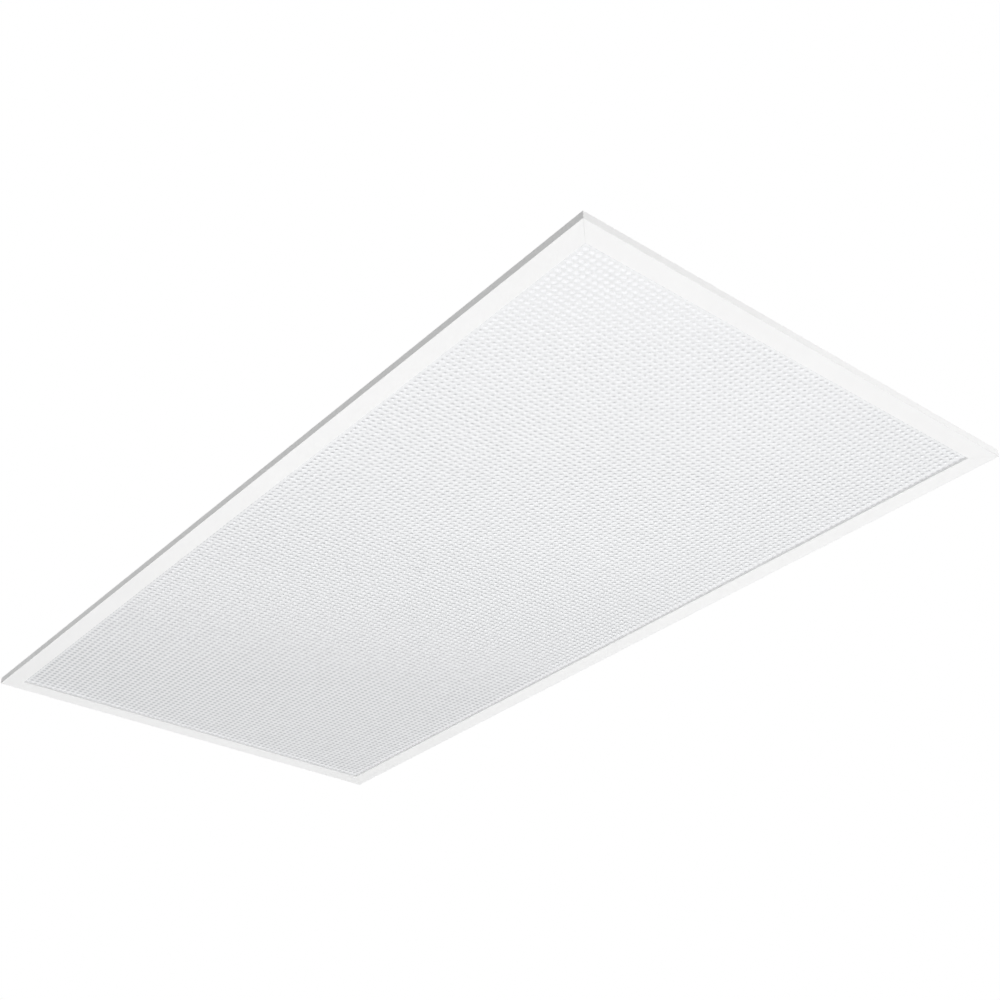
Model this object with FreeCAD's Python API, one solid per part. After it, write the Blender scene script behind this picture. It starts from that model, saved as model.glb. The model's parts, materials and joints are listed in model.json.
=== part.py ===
import FreeCAD, Part
import math
import os

# Recessed troffer light: a back-lit panel that lies face down in a ceiling grid.
# X runs along the length, Y across the width and Z up into the ceiling void.
# The origin is the middle of the frame's lower face. Sizes are in millimetres.

V = FreeCAD.Vector

# Overall sizes
LENGTH = 1195.0
WIDTH = 595.0
RIM_HEIGHT = 8.4
PAN_DEPTH = 29.4            # from the frame's pan seat to the top of the pan

# Frame extrusion
FACE_WIDTH = 23.2           # white border seen from below
FACE_T = 1.4
RIM_T = 1.3
LENS_RECESS = 2.8           # lens below-face to the frame's lower face
LEDGE_T = 1.6               # upright lip that the lens lies on
EDGE_ROUND = 0.5
KEY_CHANNEL = 8.2           # clear width of the channel for the corner keys
SCREW_RIB_T = 4.5
MITRE_GAP = 0.1

# Corner keys
KEY_LEG = 45.0
KEY_T = 2.6
KEY_CLEAR = 0.2
KEY_LIP = 1.0               # hook on the rim that holds the keys down
KEY_BARB = 6.0              # tapered lead at the end of each leg
KEY_TIP = 2.0               # width of the leg at its end

# Lens stack
LENS_T = 2.2
DIFFUSER_T = 0.8
GASKET_T = 0.8
GASKET_W = 5.0
LENS_EXPANSION = 1.5        # room round the lens for heat
DIFFUSER_INSET = 1.0

# Back pan
SHEET_T = 0.7
PAN_FOOT = 24.5             # from the outer face to the foot of the sloped wall
PAN_LEAN = 45.0             # slope of the wall, degrees from upright
PAN_CORNER = 14.0
FLANGE_CLEAR = 0.7
RIB_W = 16.0
RIB_H = 2.5
RIB_MARGIN = 54.0           # rib end to the edge of the flat top
RIB_BOX_GAP = 18.5          # outer ribs to the sides of the driver box
PAN_SCREW_PITCH = 265.0
PAN_SCREW_MARGIN = 50.0
PAN_SCREW_R = 1.2
PAN_SCREW_HEAD_R = 3.2
PAN_SCREW_HEAD_H = 1.8
PAN_SCREW_L = 4.6
HOLE_CLEAR = 0.1

# Light sources
STRIP_COUNT = 3
STRIP_MARGIN = 61.3         # middle of an outer strip to the edge of the flat top
STRIP_W = 18.0
STRIP_T = 1.2
STRIP_END = 20.0            # board past its last source
LED_COUNT = 8
LED_MARGIN = 43.8           # last source to the edge of the flat top
LED_SIZE = 3.2
LED_T = 0.7
OPTIC_R = 6.5
OPTIC_TIP_R = 4.0
OPTIC_H = 5.0
OPTIC_SIDES = 12

# Reflector sheet
REFLECTOR_T = 0.5
REFLECTOR_DROP = 1.5        # from the pan's inside to the sheet
REFLECTOR_GAP = 0.3
REFLECTOR_LIFT = 0.6        # lower edge above the pan's flange
REFLECTOR_SLOT_CLEAR = 1.0

# Sheet screws in the driver box
SCREW_R = 1.6
SCREW_HEAD_R = 3.6
SCREW_HEAD_H = 1.6
SHANK_SIDES = 8             # facets of a plain shank

# Driver box
BOX_L = 300.0
BOX_W = 130.0
BOX_H = 33.0
BOX_T = 0.8
BODY_GAP = 0.3              # clearance between pieces that move apart
COVER_LIP = 9.0
COVER_FIT = 0.4
COVER_TAB_L = 40.0
COVER_TAB_W = 12.0
PIN_PROUD = 1.0             # hinge pin past the last knuckle
HINGE_PIN_R = 1.5
HINGE_FIT = 0.08
KNUCKLE_L = 26.0
KNUCKLE_GAP = 0.5
KNUCKLE_COUNT = 5
KNOCKOUT_R = 11.1
KNOCKOUT_SHEAR = 0.2
KNOCKOUT_PITCH = 60.0
GLAND_CLEAR = 4.4           # room round a knockout for the flange of a gland
END_TAB = 9.0
END_TAB_DROP = 5.0          # side tabs below the top of an end plate
COVER_SCREW_R = 2.0
COVER_SCREW_HEAD_R = 5.0
COVER_SCREW_HEAD_H = 3.2
COVER_SCREW_L = 6.0
COVER_SCREW_PLAY = 0.4
COVER_SLOT_W = 1.2
COVER_SLOT_H = 1.2

# Driver
DRIVER_L = 150.0
DRIVER_W = 48.0
DRIVER_H = 24.0
DRIVER_T = 0.9
DRIVER_CORNER = 2.0
DRIVER_EAR = 12.0
DRIVER_EAR_Y = 12.0         # ears off the driver's middle line
DRIVER_END_GAP = 42.0       # room for the output leads past the driver
DRIVER_SIDE_GAP = 8.2       # driver to the inside of the rear wall
DRIVER_LEAD_PITCH = 8.0
OUTPUT_LEAD_PITCH = 4.0
BOARD_T = 1.6
BOARD_CLEAR = 1.0
STANDOFF_W = 4.0
STANDOFF_H = 3.0
STANDOFF_X = 15.0           # standoffs to the driver's ends
STANDOFF_Y = 10.0           # standoffs to the driver's sides
TRANSFORMER_L = 24.0
TRANSFORMER_W = 22.0
TRANSFORMER_H = 14.0
CAPACITOR_R = 6.0
CAPACITOR_H = 15.0
CAPACITOR_X = 41.0          # each way from the driver's middle
CAPACITOR_Y = 8.0
CAPACITOR_SIDES = 12

# Lever terminal block
POLE_COUNT = 5
POLE_PITCH = 6.2
SUPPLY_ROOM = 32.0          # end of the box to the face with the wire entries
BLOCK_D = 20.0
BLOCK_H = 14.0
BLOCK_WALL = 1.0
BLOCK_CHAMFER = 1.0
POCKET_START = 6.0
POCKET_FLOOR = 3.0
ENTRY_R = 1.9
ENTRY_Z = 5.0
OUTLET_DROP = 0.6           # lead outlets at the back, below the entries
LEVER_PIVOT_X = 14.5
LEVER_PIVOT_Z = 9.5
LEVER_CAM_R = 3.5
LEVER_NECK = 3.0
LEVER_ARM_T = 2.2
LEVER_GRIP = 1.4            # lever past the block's front face
LEVER_GRIP_L = 2.6
LEVER_GRIP_H = 1.0
LEVER_SWING = 0.5           # room under an open lever in the block's rear wall
LEVER_SIDE_CLEAR = 0.3
TRUNNION_R = 1.1
TRUNNION_L = 0.7
TRUNNION_FIT = 0.1
SPRING_T = 0.4
SPRING_END = 1.0            # room at each end of the pocket
SPRING_HEEL = 1.4
SPRING_TIP = 3.0

# Leads
LEAD_R = 1.0
LEAD_BEND = 6.0
LEAD_SIDES = 6              # facets of a lead's section
LEAD_RUN = 12.0             # straight run out of the block and past a double bend
LEAD_STAGGER = 6.0          # each lead turns that much after the next
EARTH_RUN = 9.0
LINK_R = 0.6
LINK_PITCH = 6.0
LINK_END = 20.5             # link leads to the end of a strip
LEAD_FIT = 0.1

# Rubber bushing round the output leads, through the box floor and the pan
BUSHING_INSET = 20.0        # bushing's middle to the end of the box
BUSHING_R = 7.0
BUSHING_SAG = 1.6           # room for the leads' lower bend
BUSHING_LIP = 2.0
BUSHING_LIP_H = 1.2
BUSHING_LEAD_PITCH = 3.0

# Earth screw
EARTH_INSET = 14.0          # earth screw to the end of the box
EARTH_SIDE = 33.0           # earth screw to the front of the box
EARTH_HEAD_R = 4.0
EARTH_HEAD_H = 2.6
EARTH_LUG_R = 4.6
EARTH_LUG_T = 0.8
EARTH_BARREL_L = 8.0
EARTH_BARREL_R = 1.8
EARTH_NECK_W = 3.2
EARTH_NECK_LAP = 0.5

# Output and colour selectors
SELECTOR_X = (30.0, 66.0)
SELECTOR_Z = 12.0           # centre above the box floor
SWITCH_L = 14.0
SWITCH_D = 5.5
SWITCH_H = 7.0
SWITCH_SLOT_D = 3.4
SLIDER_L = 3.2
SLIDER_H = 3.2
SLIDER_OUT = 2.6
SLIDER_TRAVEL = 2.5         # each way from the middle position
SLIDER_END_GAP = 0.6        # left at each end of the slot
SLIDER_GROOVE_W = 0.8
SLIDER_GROOVE_D = 0.6
SELECTOR_BOARD_L = 74.0
SELECTOR_BOARD_H = 16.0
SELECTOR_POST_R = 2.2
SELECTOR_POST_SIDES = 6
RIBBON_W = 9.0
RIBBON_T = 0.9
RIBBON_BEND = 5.0
RIBBON_RUN = 8.0            # straight run off the board and into the driver

# Grid clips
CLIP_END = 147.5            # pivot to the frame's end
CLIP_INSET = 66.0           # pivot to the frame's long side
CLIP_ARM = 86.0
CLIP_W = 16.0
CLIP_T = 1.5
CLIP_BEAD_W = 5.0
CLIP_BEAD_H = 1.0
CLIP_TAB_H = 7.0
CLIP_BOSS_R = 12.0
CLIP_BOSS_H = 2.5
CLIP_PIVOT_R = 3.0
CLIP_PIVOT_FIT = 0.08
CLIP_HEAD_R = 5.5
CLIP_HEAD_H = 1.6
RIVET_TAIL = 1.0            # rivet left under the sheet

# Hanger brackets
HANGER_END = 26.0           # bracket's middle to the edge of the flat top
HANGER_BASE = 26.0
HANGER_W = 18.0
HANGER_T = 1.2
HANGER_H = 18.0
HANGER_HOLE_R = 2.6
HANGER_HOLE_Z = 12.0
HANGER_CORNER = 5.0

# Heights that follow from the sizes above
LENS_Z = LENS_RECESS
DIFFUSER_Z = LENS_Z + LENS_T
GASKET_Z = DIFFUSER_Z + DIFFUSER_T
PAN_SEAT_Z = GASKET_Z + GASKET_T
PAN_TOP_Z = PAN_SEAT_Z + PAN_DEPTH
PAN_INSIDE_Z = PAN_TOP_Z - SHEET_T
STRIP_Z = PAN_INSIDE_Z - STRIP_T
REFLECTOR_TOP_Z = PAN_INSIDE_Z - REFLECTOR_DROP
BOX_FLOOR_Z = PAN_TOP_Z + BOX_T
BOX_TOP_Z = PAN_TOP_Z + BOX_H
COVER_Z = BOX_TOP_Z + BODY_GAP
KNOCKOUT_Z = BOX_FLOOR_Z + BOX_H / 2
DRIVER_LEAD_Z = BOX_FLOOR_Z + DRIVER_H / 2

# Places across the section that follow from the sizes above
SCREW_RIB_OUT = RIM_T + KEY_CHANNEL
SCREW_RIB_IN = SCREW_RIB_OUT + SCREW_RIB_T
SCREW_LINE = (SCREW_RIB_OUT + SCREW_RIB_IN) / 2
LENS_INSET = SCREW_RIB_IN + LENS_EXPANSION
PAN_SLOPE = math.tan(math.radians(PAN_LEAN))
PAN_SLANT = 1 / math.cos(math.radians(PAN_LEAN))
FLAT_X = LENGTH / 2 - PAN_FOOT - (PAN_DEPTH - SHEET_T) * PAN_SLOPE
FLAT_Y = WIDTH / 2 - PAN_FOOT - (PAN_DEPTH - SHEET_T) * PAN_SLOPE
STRIP_PITCH = 2 * (FLAT_Y - STRIP_MARGIN) / (STRIP_COUNT - 1)
LED_PITCH = 2 * (FLAT_X - LED_MARGIN) / (LED_COUNT - 1)
DRIVER_X = BOX_L / 2 - DRIVER_END_GAP - DRIVER_L
DRIVER_Y = BOX_W / 2 - BOX_T - DRIVER_SIDE_GAP - DRIVER_W / 2
BLOCK_X = SUPPLY_ROOM - BOX_L / 2
SWITCH_SLOT_L = SLIDER_L + 2 * (SLIDER_TRAVEL + SLIDER_END_GAP)

# The four sides: angle about Z from the front, length of the side, depth across
SIDES = {
    "front": (0, LENGTH, WIDTH),
    "right": (90, WIDTH, LENGTH),
    "rear": (180, LENGTH, WIDTH),
    "left": (270, WIDTH, LENGTH),
}
CORNERS = [(sx, sy) for sx in (-1, 1) for sy in (-1, 1)]


def block(x0, x1, y0, y1, z0, z1):
    """A plain block between two corners."""
    return Part.makeBox(x1 - x0, y1 - y0, z1 - z0, V(x0, y0, z0))


def rod(radius, start, end):
    """A round bar between two points."""
    along = end - start
    return Part.makeCylinder(radius, along.Length, start, along)


def tube(outer, inner, start, end):
    """A round bar with a hole along it."""
    return rod(outer, start, end).cut(rod(inner, start, end))


def prism(points, along):
    """A flat outline pushed along a direction."""
    outline = Part.makePolygon(points + [points[0]])
    return Part.Face(outline).extrude(along)


def rounded_outline(half_x, half_y, radius, z, centre=(0.0, 0.0)):
    """A level rectangle with round corners."""
    edges = []
    arcs = []
    for turn, (sx, sy) in enumerate(((1, 1), (-1, 1), (-1, -1), (1, -1))):
        hub = V(centre[0] + sx * (half_x - radius), centre[1] + sy * (half_y - radius), z)
        marks = []
        for step in (0.0, 0.5, 1.0):
            angle = math.radians(90 * (turn + step))
            marks.append(hub + V(radius * math.cos(angle), radius * math.sin(angle), 0))
        arcs.append(marks)
    for marks, following in zip(arcs, arcs[1:] + arcs[:1]):
        edges.append(Part.Arc(*marks).toShape())
        edges.append(Part.makeLine(marks[2], following[0]))
    return Part.Wire(edges)


def rounded_plate(half_x, half_y, radius, z, thickness, centre=(0.0, 0.0)):
    """A level plate with round corners."""
    outline = rounded_outline(half_x, half_y, radius, z, centre)
    return Part.Face(outline).extrude(V(0, 0, thickness))


def tapered(lower, upper):
    """A straight-sided solid between two level outlines."""
    return Part.makeLoft([lower, upper], True, True)


def on_side(shape, side):
    """Moves a shape made along X, with its depth along Y, to a side of the frame."""
    angle, _, across = SIDES[side]
    placed = shape.copy()
    placed.translate(V(0, -across / 2, 0))
    placed.rotate(V(0, 0, 0), V(0, 0, 1), angle)
    return placed


def mitred(run, inset, depth, z, height, gap):
    """A strip cut at 45 degrees at both ends, for one side of a rectangle."""
    half = run / 2 - inset - gap / 2 * math.sqrt(2)
    points = [V(-half, inset, z), V(half, inset, z)]
    points += [V(half - depth, inset + depth, z), V(depth - half, inset + depth, z)]
    return prism(points, V(0, 0, height))


def facet_ring(centre, radius, sides, facing):
    """Corners of a regular outline round a point, square to a direction."""
    turned = FreeCAD.Rotation(V(0, 0, 1), facing)
    corners = []
    for i in range(sides):
        angle = 2 * math.pi * i / sides
        corners.append(centre + turned.multVec(V(math.cos(angle), math.sin(angle), 0) * radius))
    return corners


def facet_bar(radius, sides, start, end):
    """A bar with flat sides between two points."""
    along = end - start
    return prism(facet_ring(start, radius, sides, along), along)


def bent_path(points, bend):
    """Straight runs that are joined by arcs of one radius."""
    edges = []
    start = points[0]
    for before, corner, after in zip(points, points[1:], points[2:]):
        inward = (before - corner).normalize()
        outward = (after - corner).normalize()
        turn = math.pi - inward.getAngle(outward)
        reach = bend * math.tan(turn / 2)
        first = corner + inward * reach
        last = corner + outward * reach
        middle = (inward + outward).normalize()
        hub = corner + middle * (bend / math.cos(turn / 2))
        edges.append(Part.makeLine(start, first))
        edges.append(Part.Arc(first, hub - middle * bend, last).toShape())
        start = last
    edges.append(Part.makeLine(start, points[-1]))
    return Part.Wire(edges)


def swept(path, corners):
    """A solid made by moving a flat outline along a path."""
    return path.makePipeShell([Part.makePolygon(corners + [corners[0]])], True, False)


def lead(points, radius, bend):
    """An insulated wire along bent runs."""
    section = facet_ring(points[0], radius, LEAD_SIDES, points[1] - points[0])
    return swept(bent_path(points, bend), section)


# Frame

def rail_section():
    """Section of the extruded rail, as depth in from its outer face and height."""
    lip_z = FACE_T + KEY_T + KEY_CLEAR
    steps = [(0, 0), (FACE_WIDTH, 0), (FACE_WIDTH, LENS_RECESS)]
    steps += [(FACE_WIDTH - LEDGE_T, LENS_RECESS), (FACE_WIDTH - LEDGE_T, FACE_T)]
    steps += [(SCREW_RIB_IN, FACE_T), (SCREW_RIB_IN, PAN_SEAT_Z)]
    steps += [(SCREW_RIB_OUT, PAN_SEAT_Z), (SCREW_RIB_OUT, FACE_T), (RIM_T, FACE_T)]
    steps += [(RIM_T, lip_z), (RIM_T + KEY_LIP, lip_z)]
    steps += [(RIM_T + KEY_LIP, lip_z + KEY_LIP), (RIM_T, lip_z + KEY_LIP)]
    steps += [(RIM_T, RIM_HEIGHT), (0, RIM_HEIGHT)]
    return steps


def side_screws(run):
    """Places of the pan screws along one side."""
    gaps = int((run - 2 * PAN_SCREW_MARGIN) // PAN_SCREW_PITCH)
    return [PAN_SCREW_PITCH * (i - gaps / 2) for i in range(gaps + 1)]


def frame_rail(side):
    """One mitred length of the frame, with its screw holes."""
    _, run, _ = SIDES[side]
    points = [V(-run / 2, depth, height) for depth, height in rail_section()]
    rail = prism(points, V(run, 0, 0))
    edges = []
    for edge in rail.Edges:
        ends = [vertex.Point for vertex in edge.Vertexes]
        low = all(abs(p.z) < 1e-6 for p in ends)
        outer = all(abs(p.y) < 1e-6 for p in ends)
        inner = all(abs(p.y - FACE_WIDTH) < 1e-6 for p in ends)
        if low and (outer or inner):
            edges.append(edge)
    rail = rail.makeFillet(EDGE_ROUND, edges)
    rail = rail.common(mitred(run, 0, FACE_WIDTH, 0, RIM_HEIGHT, MITRE_GAP))
    hole_r = PAN_SCREW_R + HOLE_CLEAR / 2
    for x in side_screws(run):
        top = V(x, SCREW_LINE, PAN_SEAT_Z)
        rail = rail.cut(rod(hole_r, top, top - V(0, 0, PAN_SCREW_L)))
    return on_side(rail, side)


def corner_key(sx, sy):
    """The flat steel angle driven into two rails at a corner, with tapered ends."""
    near = RIM_T + KEY_CLEAR
    far = SCREW_RIB_OUT - KEY_CLEAR
    end = near + KEY_LEG
    tip = (near + far) / 2
    outline = [(near, near), (end - KEY_BARB, near)]
    outline += [(end, tip - KEY_TIP / 2), (end, tip + KEY_TIP / 2)]
    outline += [(end - KEY_BARB, far), (far, far)]
    outline += [(across, along) for along, across in reversed(outline[1:5])]
    points = []
    for along, across in outline:
        points.append(V(sx * (LENGTH / 2 - along), sy * (WIDTH / 2 - across), FACE_T))
    return prism(points, V(0, 0, KEY_T))


# Lens stack

def sheet_in_frame(inset, z, thickness):
    """A flat sheet lying in the frame."""
    return block(inset - LENGTH / 2, LENGTH / 2 - inset,
                 inset - WIDTH / 2, WIDTH / 2 - inset, z, z + thickness)


def gasket_strip(side):
    """Foam between the diffuser and the pan's flange on one side."""
    _, run, _ = SIDES[side]
    inset = LENS_INSET + DIFFUSER_INSET
    return on_side(mitred(run, inset, GASKET_W, GASKET_Z, GASKET_T, MITRE_GAP), side)


# Back pan

def pan_form(foot_z, top_z, shift):
    """The sloped box of the pan; shift moves its faces outward, square to them."""
    lower = PAN_FOOT + (foot_z - PAN_SEAT_Z) * PAN_SLOPE - shift * PAN_SLANT
    upper = PAN_FOOT + (top_z - PAN_SEAT_Z) * PAN_SLOPE - shift * PAN_SLANT
    outlines = []
    for inset, z in ((lower, foot_z), (upper, top_z)):
        outlines.append(rounded_outline(LENGTH / 2 - inset, WIDTH / 2 - inset, PAN_CORNER, z))
    return tapered(*outlines)


def rib_form(x, y, length, base_z, shrink):
    """A long pressed rib with sloped flanks and pointed ends."""
    half_x = length / 2 - shrink
    half_y = RIB_W / 2 - shrink
    outlines = []
    for step, z in ((0, base_z), (RIB_H, base_z + RIB_H)):
        x0 = half_x - step
        y0 = half_y - step
        points = [V(x + x0, y, z), V(x + x0 - y0, y + y0, z), V(x - x0 + y0, y + y0, z)]
        points += [V(x - x0, y, z), V(x - x0 + y0, y - y0, z), V(x + x0 - y0, y - y0, z)]
        outlines.append(Part.makePolygon(points + [points[0]]))
    return tapered(*outlines)


def outer_rib_y():
    """Distance across of the long ribs, in line with the hanger brackets."""
    return BOX_W / 2 + RIB_BOX_GAP + RIB_W / 2


def rib_places():
    """Middle and length of each stiffening rib on the flat top."""
    end = FLAT_X - RIB_MARGIN
    outer_y = outer_rib_y()
    inner_y = BOX_W / 4
    start = BOX_L / 2 + RIB_W
    places = [(0, side * outer_y, 2 * end) for side in (-1, 1)]
    for sx, sy in CORNERS:
        places.append((sx * (start + end) / 2, sy * inner_y, end - start))
    return places


def clip_pivots():
    """Middle of each grid clip's pivot, with the way that it points at rest."""
    x = LENGTH / 2 - CLIP_END
    y = WIDTH / 2 - CLIP_INSET
    return [(sx, sy, V(sx * x, sy * y, PAN_TOP_Z + CLIP_BOSS_H)) for sx, sy in CORNERS]


def hanger_places():
    """Outer foot of each hanger bracket on the pan."""
    x = FLAT_X - HANGER_END + HANGER_BASE / 2
    return [(sx, V(sx * x, sy * outer_rib_y(), PAN_TOP_Z)) for sx, sy in CORNERS]


def bushing_place():
    """Middle of the bushing, on the box floor."""
    return V(BOX_L / 2 - BUSHING_INSET, DRIVER_Y, BOX_FLOOR_Z)


def back_pan():
    """The pressed steel back, with its flange, sloped walls, ribs and bosses."""
    flange_in = RIM_T + FLANGE_CLEAR
    pan = block(flange_in - LENGTH / 2, LENGTH / 2 - flange_in,
                flange_in - WIDTH / 2, WIDTH / 2 - flange_in,
                PAN_SEAT_Z, PAN_SEAT_Z + SHEET_T)
    pan = pan.fuse(pan_form(PAN_SEAT_Z, PAN_TOP_Z, SHEET_T))
    hollows = [pan_form(PAN_SEAT_Z, PAN_INSIDE_Z, 0)]
    for x, y, length in rib_places():
        pan = pan.fuse(rib_form(x, y, length, PAN_TOP_Z, 0))
        hollows.append(rib_form(x, y, length, PAN_INSIDE_Z, SHEET_T))
    for _, _, top in clip_pivots():
        foot = top - V(0, 0, CLIP_BOSS_H)
        pan = pan.fuse(Part.makeCone(CLIP_BOSS_R, CLIP_BOSS_R - CLIP_BOSS_H, CLIP_BOSS_H, foot))
        hollows.append(Part.makeCone(CLIP_BOSS_R - SHEET_T,
                                     CLIP_BOSS_R - SHEET_T - CLIP_BOSS_H,
                                     CLIP_BOSS_H, foot - V(0, 0, SHEET_T)))
    for hollow in hollows:
        pan = pan.cut(hollow)
    for side, (_, run, _) in SIDES.items():
        for x in side_screws(run):
            half = PAN_SCREW_R + HOLE_CLEAR
            slot = block(x - half, x + half, flange_in, SCREW_LINE + half,
                         PAN_SEAT_Z, PAN_SEAT_Z + SHEET_T)
            pan = pan.cut(on_side(slot, side))
    for _, _, top in clip_pivots():
        start = top - V(0, 0, SHEET_T)
        pan = pan.cut(rod(CLIP_PIVOT_R + HOLE_CLEAR, start, top))
    middle = bushing_place()
    start = V(middle.x, middle.y, PAN_INSIDE_Z)
    return pan.cut(rod(BUSHING_R + HOLE_CLEAR, start, start + V(0, 0, SHEET_T)))


def pan_screws():
    """Screws through the pan's flange into the rails."""
    screws = []
    for side, (_, run, _) in SIDES.items():
        for x in side_screws(run):
            seat = V(x, SCREW_LINE, PAN_SEAT_Z + SHEET_T)
            screw = hex_screw(seat, PAN_SCREW_L, PAN_SCREW_R, PAN_SCREW_HEAD_R, PAN_SCREW_HEAD_H)
            screws.append(on_side(screw, side))
    return screws


# Reflector and light sources

def strip_places():
    """Distance across the panel of each light strip."""
    return [STRIP_PITCH * (i - (STRIP_COUNT - 1) / 2) for i in range(STRIP_COUNT)]


def led_places(y):
    """Middle of each source on the strip at y, on the strip's lower face."""
    first = -LED_PITCH * (LED_COUNT - 1) / 2
    return [V(first + LED_PITCH * i, y, STRIP_Z) for i in range(LED_COUNT)]


def strip_half_length():
    """Half the length of a light strip."""
    return LED_PITCH * (LED_COUNT - 1) / 2 + STRIP_END


def reflector_sheet():
    """White sheet that lines the pan, open where the strips show."""
    foot_z = PAN_SEAT_Z + REFLECTOR_LIFT
    sheet = pan_form(foot_z, REFLECTOR_TOP_Z, -REFLECTOR_GAP)
    hollow = pan_form(foot_z, REFLECTOR_TOP_Z - REFLECTOR_T, -REFLECTOR_GAP - REFLECTOR_T)
    sheet = sheet.cut(hollow)
    half_x = strip_half_length() + REFLECTOR_SLOT_CLEAR
    half_y = STRIP_W / 2 + REFLECTOR_SLOT_CLEAR
    low = REFLECTOR_TOP_Z - REFLECTOR_T
    for y in strip_places():
        sheet = sheet.cut(block(-half_x, half_x, y - half_y, y + half_y, low, REFLECTOR_TOP_Z))
    return sheet


def led_strip(y):
    """Bare circuit strip on the inside of the pan."""
    half_x = strip_half_length()
    return block(-half_x, half_x, y - STRIP_W / 2, y + STRIP_W / 2, STRIP_Z, PAN_INSIDE_Z)


def led_chip(place):
    """One square source on a strip."""
    half = LED_SIZE / 2
    return block(place.x - half, place.x + half, place.y - half, place.y + half,
                 place.z - LED_T, place.z)


def led_optic(place):
    """Clear cap bonded to the face of a source, to spread its light."""
    outlines = []
    for radius, drop in ((OPTIC_R, LED_T), (OPTIC_TIP_R, LED_T + OPTIC_H)):
        ring = facet_ring(place - V(0, 0, drop), radius, OPTIC_SIDES, V(0, 0, 1))
        outlines.append(Part.makePolygon(ring + [ring[0]]))
    return tapered(*outlines)


def hex_screw(seat, grip, shank_r=SCREW_R, head_r=SCREW_HEAD_R, head_h=SCREW_HEAD_H):
    """A hexagon-head sheet screw: the head on its seat, the plain shank below it."""
    head = facet_bar(head_r, 6, seat, seat + V(0, 0, head_h))
    return head.fuse(facet_bar(shank_r, SHANK_SIDES, seat - V(0, 0, grip), seat))


def link_wires():
    """Short leads from each strip to the next, behind the reflector."""
    z = PAN_INSIDE_Z - REFLECTOR_DROP / 2
    wires = []
    rows = strip_places()
    for y, following in zip(rows, rows[1:]):
        for step in (0, 1):
            x = LINK_END - strip_half_length() + LINK_PITCH * step
            start = V(x, y + STRIP_W / 2, z)
            wires.append(facet_bar(LINK_R, LEAD_SIDES, start, V(x, following - STRIP_W / 2, z)))
    return wires


# Driver box

def hinge_axis():
    """Depth and height of the cover's hinge line."""
    roll = HINGE_PIN_R + HINGE_FIT
    return BOX_W / 2 + roll, COVER_Z - roll


def knuckle_spans():
    """Start and end along X of each hinge knuckle."""
    pitch = KNUCKLE_L + KNUCKLE_GAP
    first = -pitch * KNUCKLE_COUNT / 2 + KNUCKLE_GAP / 2
    return [(first + pitch * i, first + pitch * i + KNUCKLE_L) for i in range(KNUCKLE_COUNT)]


def knuckle(span):
    """One rolled knuckle on the hinge line, still without its pin hole."""
    y, z = hinge_axis()
    return rod(HINGE_PIN_R + HINGE_FIT + BOX_T, V(span[0], y, z), V(span[1], y, z))


def pin_hole(span):
    """The hole through one knuckle."""
    y, z = hinge_axis()
    return rod(HINGE_PIN_R + HINGE_FIT, V(span[0], y, z), V(span[1], y, z))


def driver_box():
    """The folded channel: a floor, two long walls, a screw tab and hinge knuckles."""
    half_l = BOX_L / 2
    half_w = BOX_W / 2
    _, z_axis = hinge_axis()
    roll_r = HINGE_PIN_R + HINGE_FIT + BOX_T
    box = block(-half_l, half_l, -half_w, half_w, PAN_TOP_Z, BOX_FLOOR_Z)
    box = box.fuse(block(-half_l, half_l, -half_w, BOX_T - half_w, PAN_TOP_Z, BOX_TOP_Z))
    box = box.fuse(block(-half_l, half_l, half_w - BOX_T, half_w, PAN_TOP_Z, z_axis))
    tab = block(-COVER_TAB_L / 2, COVER_TAB_L / 2, -half_w, COVER_TAB_W - half_w,
                BOX_TOP_Z - BOX_T, BOX_TOP_Z)
    box = box.fuse(tab)
    spans = knuckle_spans()
    for span in spans[::2]:
        box = box.fuse(knuckle(span))
    for span in spans[::2]:
        box = box.cut(pin_hole(span))
    for span in spans[1::2]:
        box = box.cut(block(span[0] - KNUCKLE_GAP, span[1] + KNUCKLE_GAP,
                            half_w - BOX_T, half_w, z_axis - roll_r - COVER_FIT, z_axis))
    box = box.cut(cover_screw_hole(BOX_TOP_Z - BOX_T, BOX_TOP_Z, COVER_SCREW_PLAY))
    for x in SELECTOR_X:
        half = SWITCH_SLOT_L / 2
        z = BOX_FLOOR_Z + SELECTOR_Z
        rise = SLIDER_H / 2 + BODY_GAP
        box = box.cut(block(x - half, x + half, -half_w, BOX_T - half_w, z - rise, z + rise))
    middle = bushing_place()
    box = box.cut(rod(BUSHING_R + HOLE_CLEAR, middle - V(0, 0, BOX_T), middle))
    for place in [earth_place()] + [p - V(0, 0, DRIVER_T) for p in driver_ear_places()]:
        box = box.cut(rod(SCREW_R + HOLE_CLEAR, place - V(0, 0, BOX_T), place))
    return box


def knockout_places(sx):
    """Middle of each knockout on the outside of one end plate."""
    x = sx * BOX_L / 2
    return [V(x, side * KNOCKOUT_PITCH / 2, KNOCKOUT_Z) for side in (-1, 1)]


def knockout_plate(sx):
    """An end of the driver box, with tabs folded in along its floor and walls."""
    out = BOX_L / 2
    face = out - BOX_T
    half = BOX_W / 2 - BOX_T
    top = BOX_TOP_Z - BOX_T
    plate = block(face, out, -half, half, BOX_FLOOR_Z, top)
    plate = plate.fuse(block(out - END_TAB, out, -half, half, BOX_FLOOR_Z, BOX_FLOOR_Z + BOX_T))
    for side in (-1, 1):
        edges = sorted((side * half, side * (half - BOX_T)))
        plate = plate.fuse(block(out - END_TAB, out, edges[0], edges[1],
                                 BOX_FLOOR_Z, top - END_TAB_DROP))
    if sx < 0:
        plate = plate.mirror(V(0, 0, 0), V(1, 0, 0))
    for place in knockout_places(sx):
        plate = plate.cut(rod(KNOCKOUT_R, place, place - V(sx * BOX_T, 0, 0)))
    return plate


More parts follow.
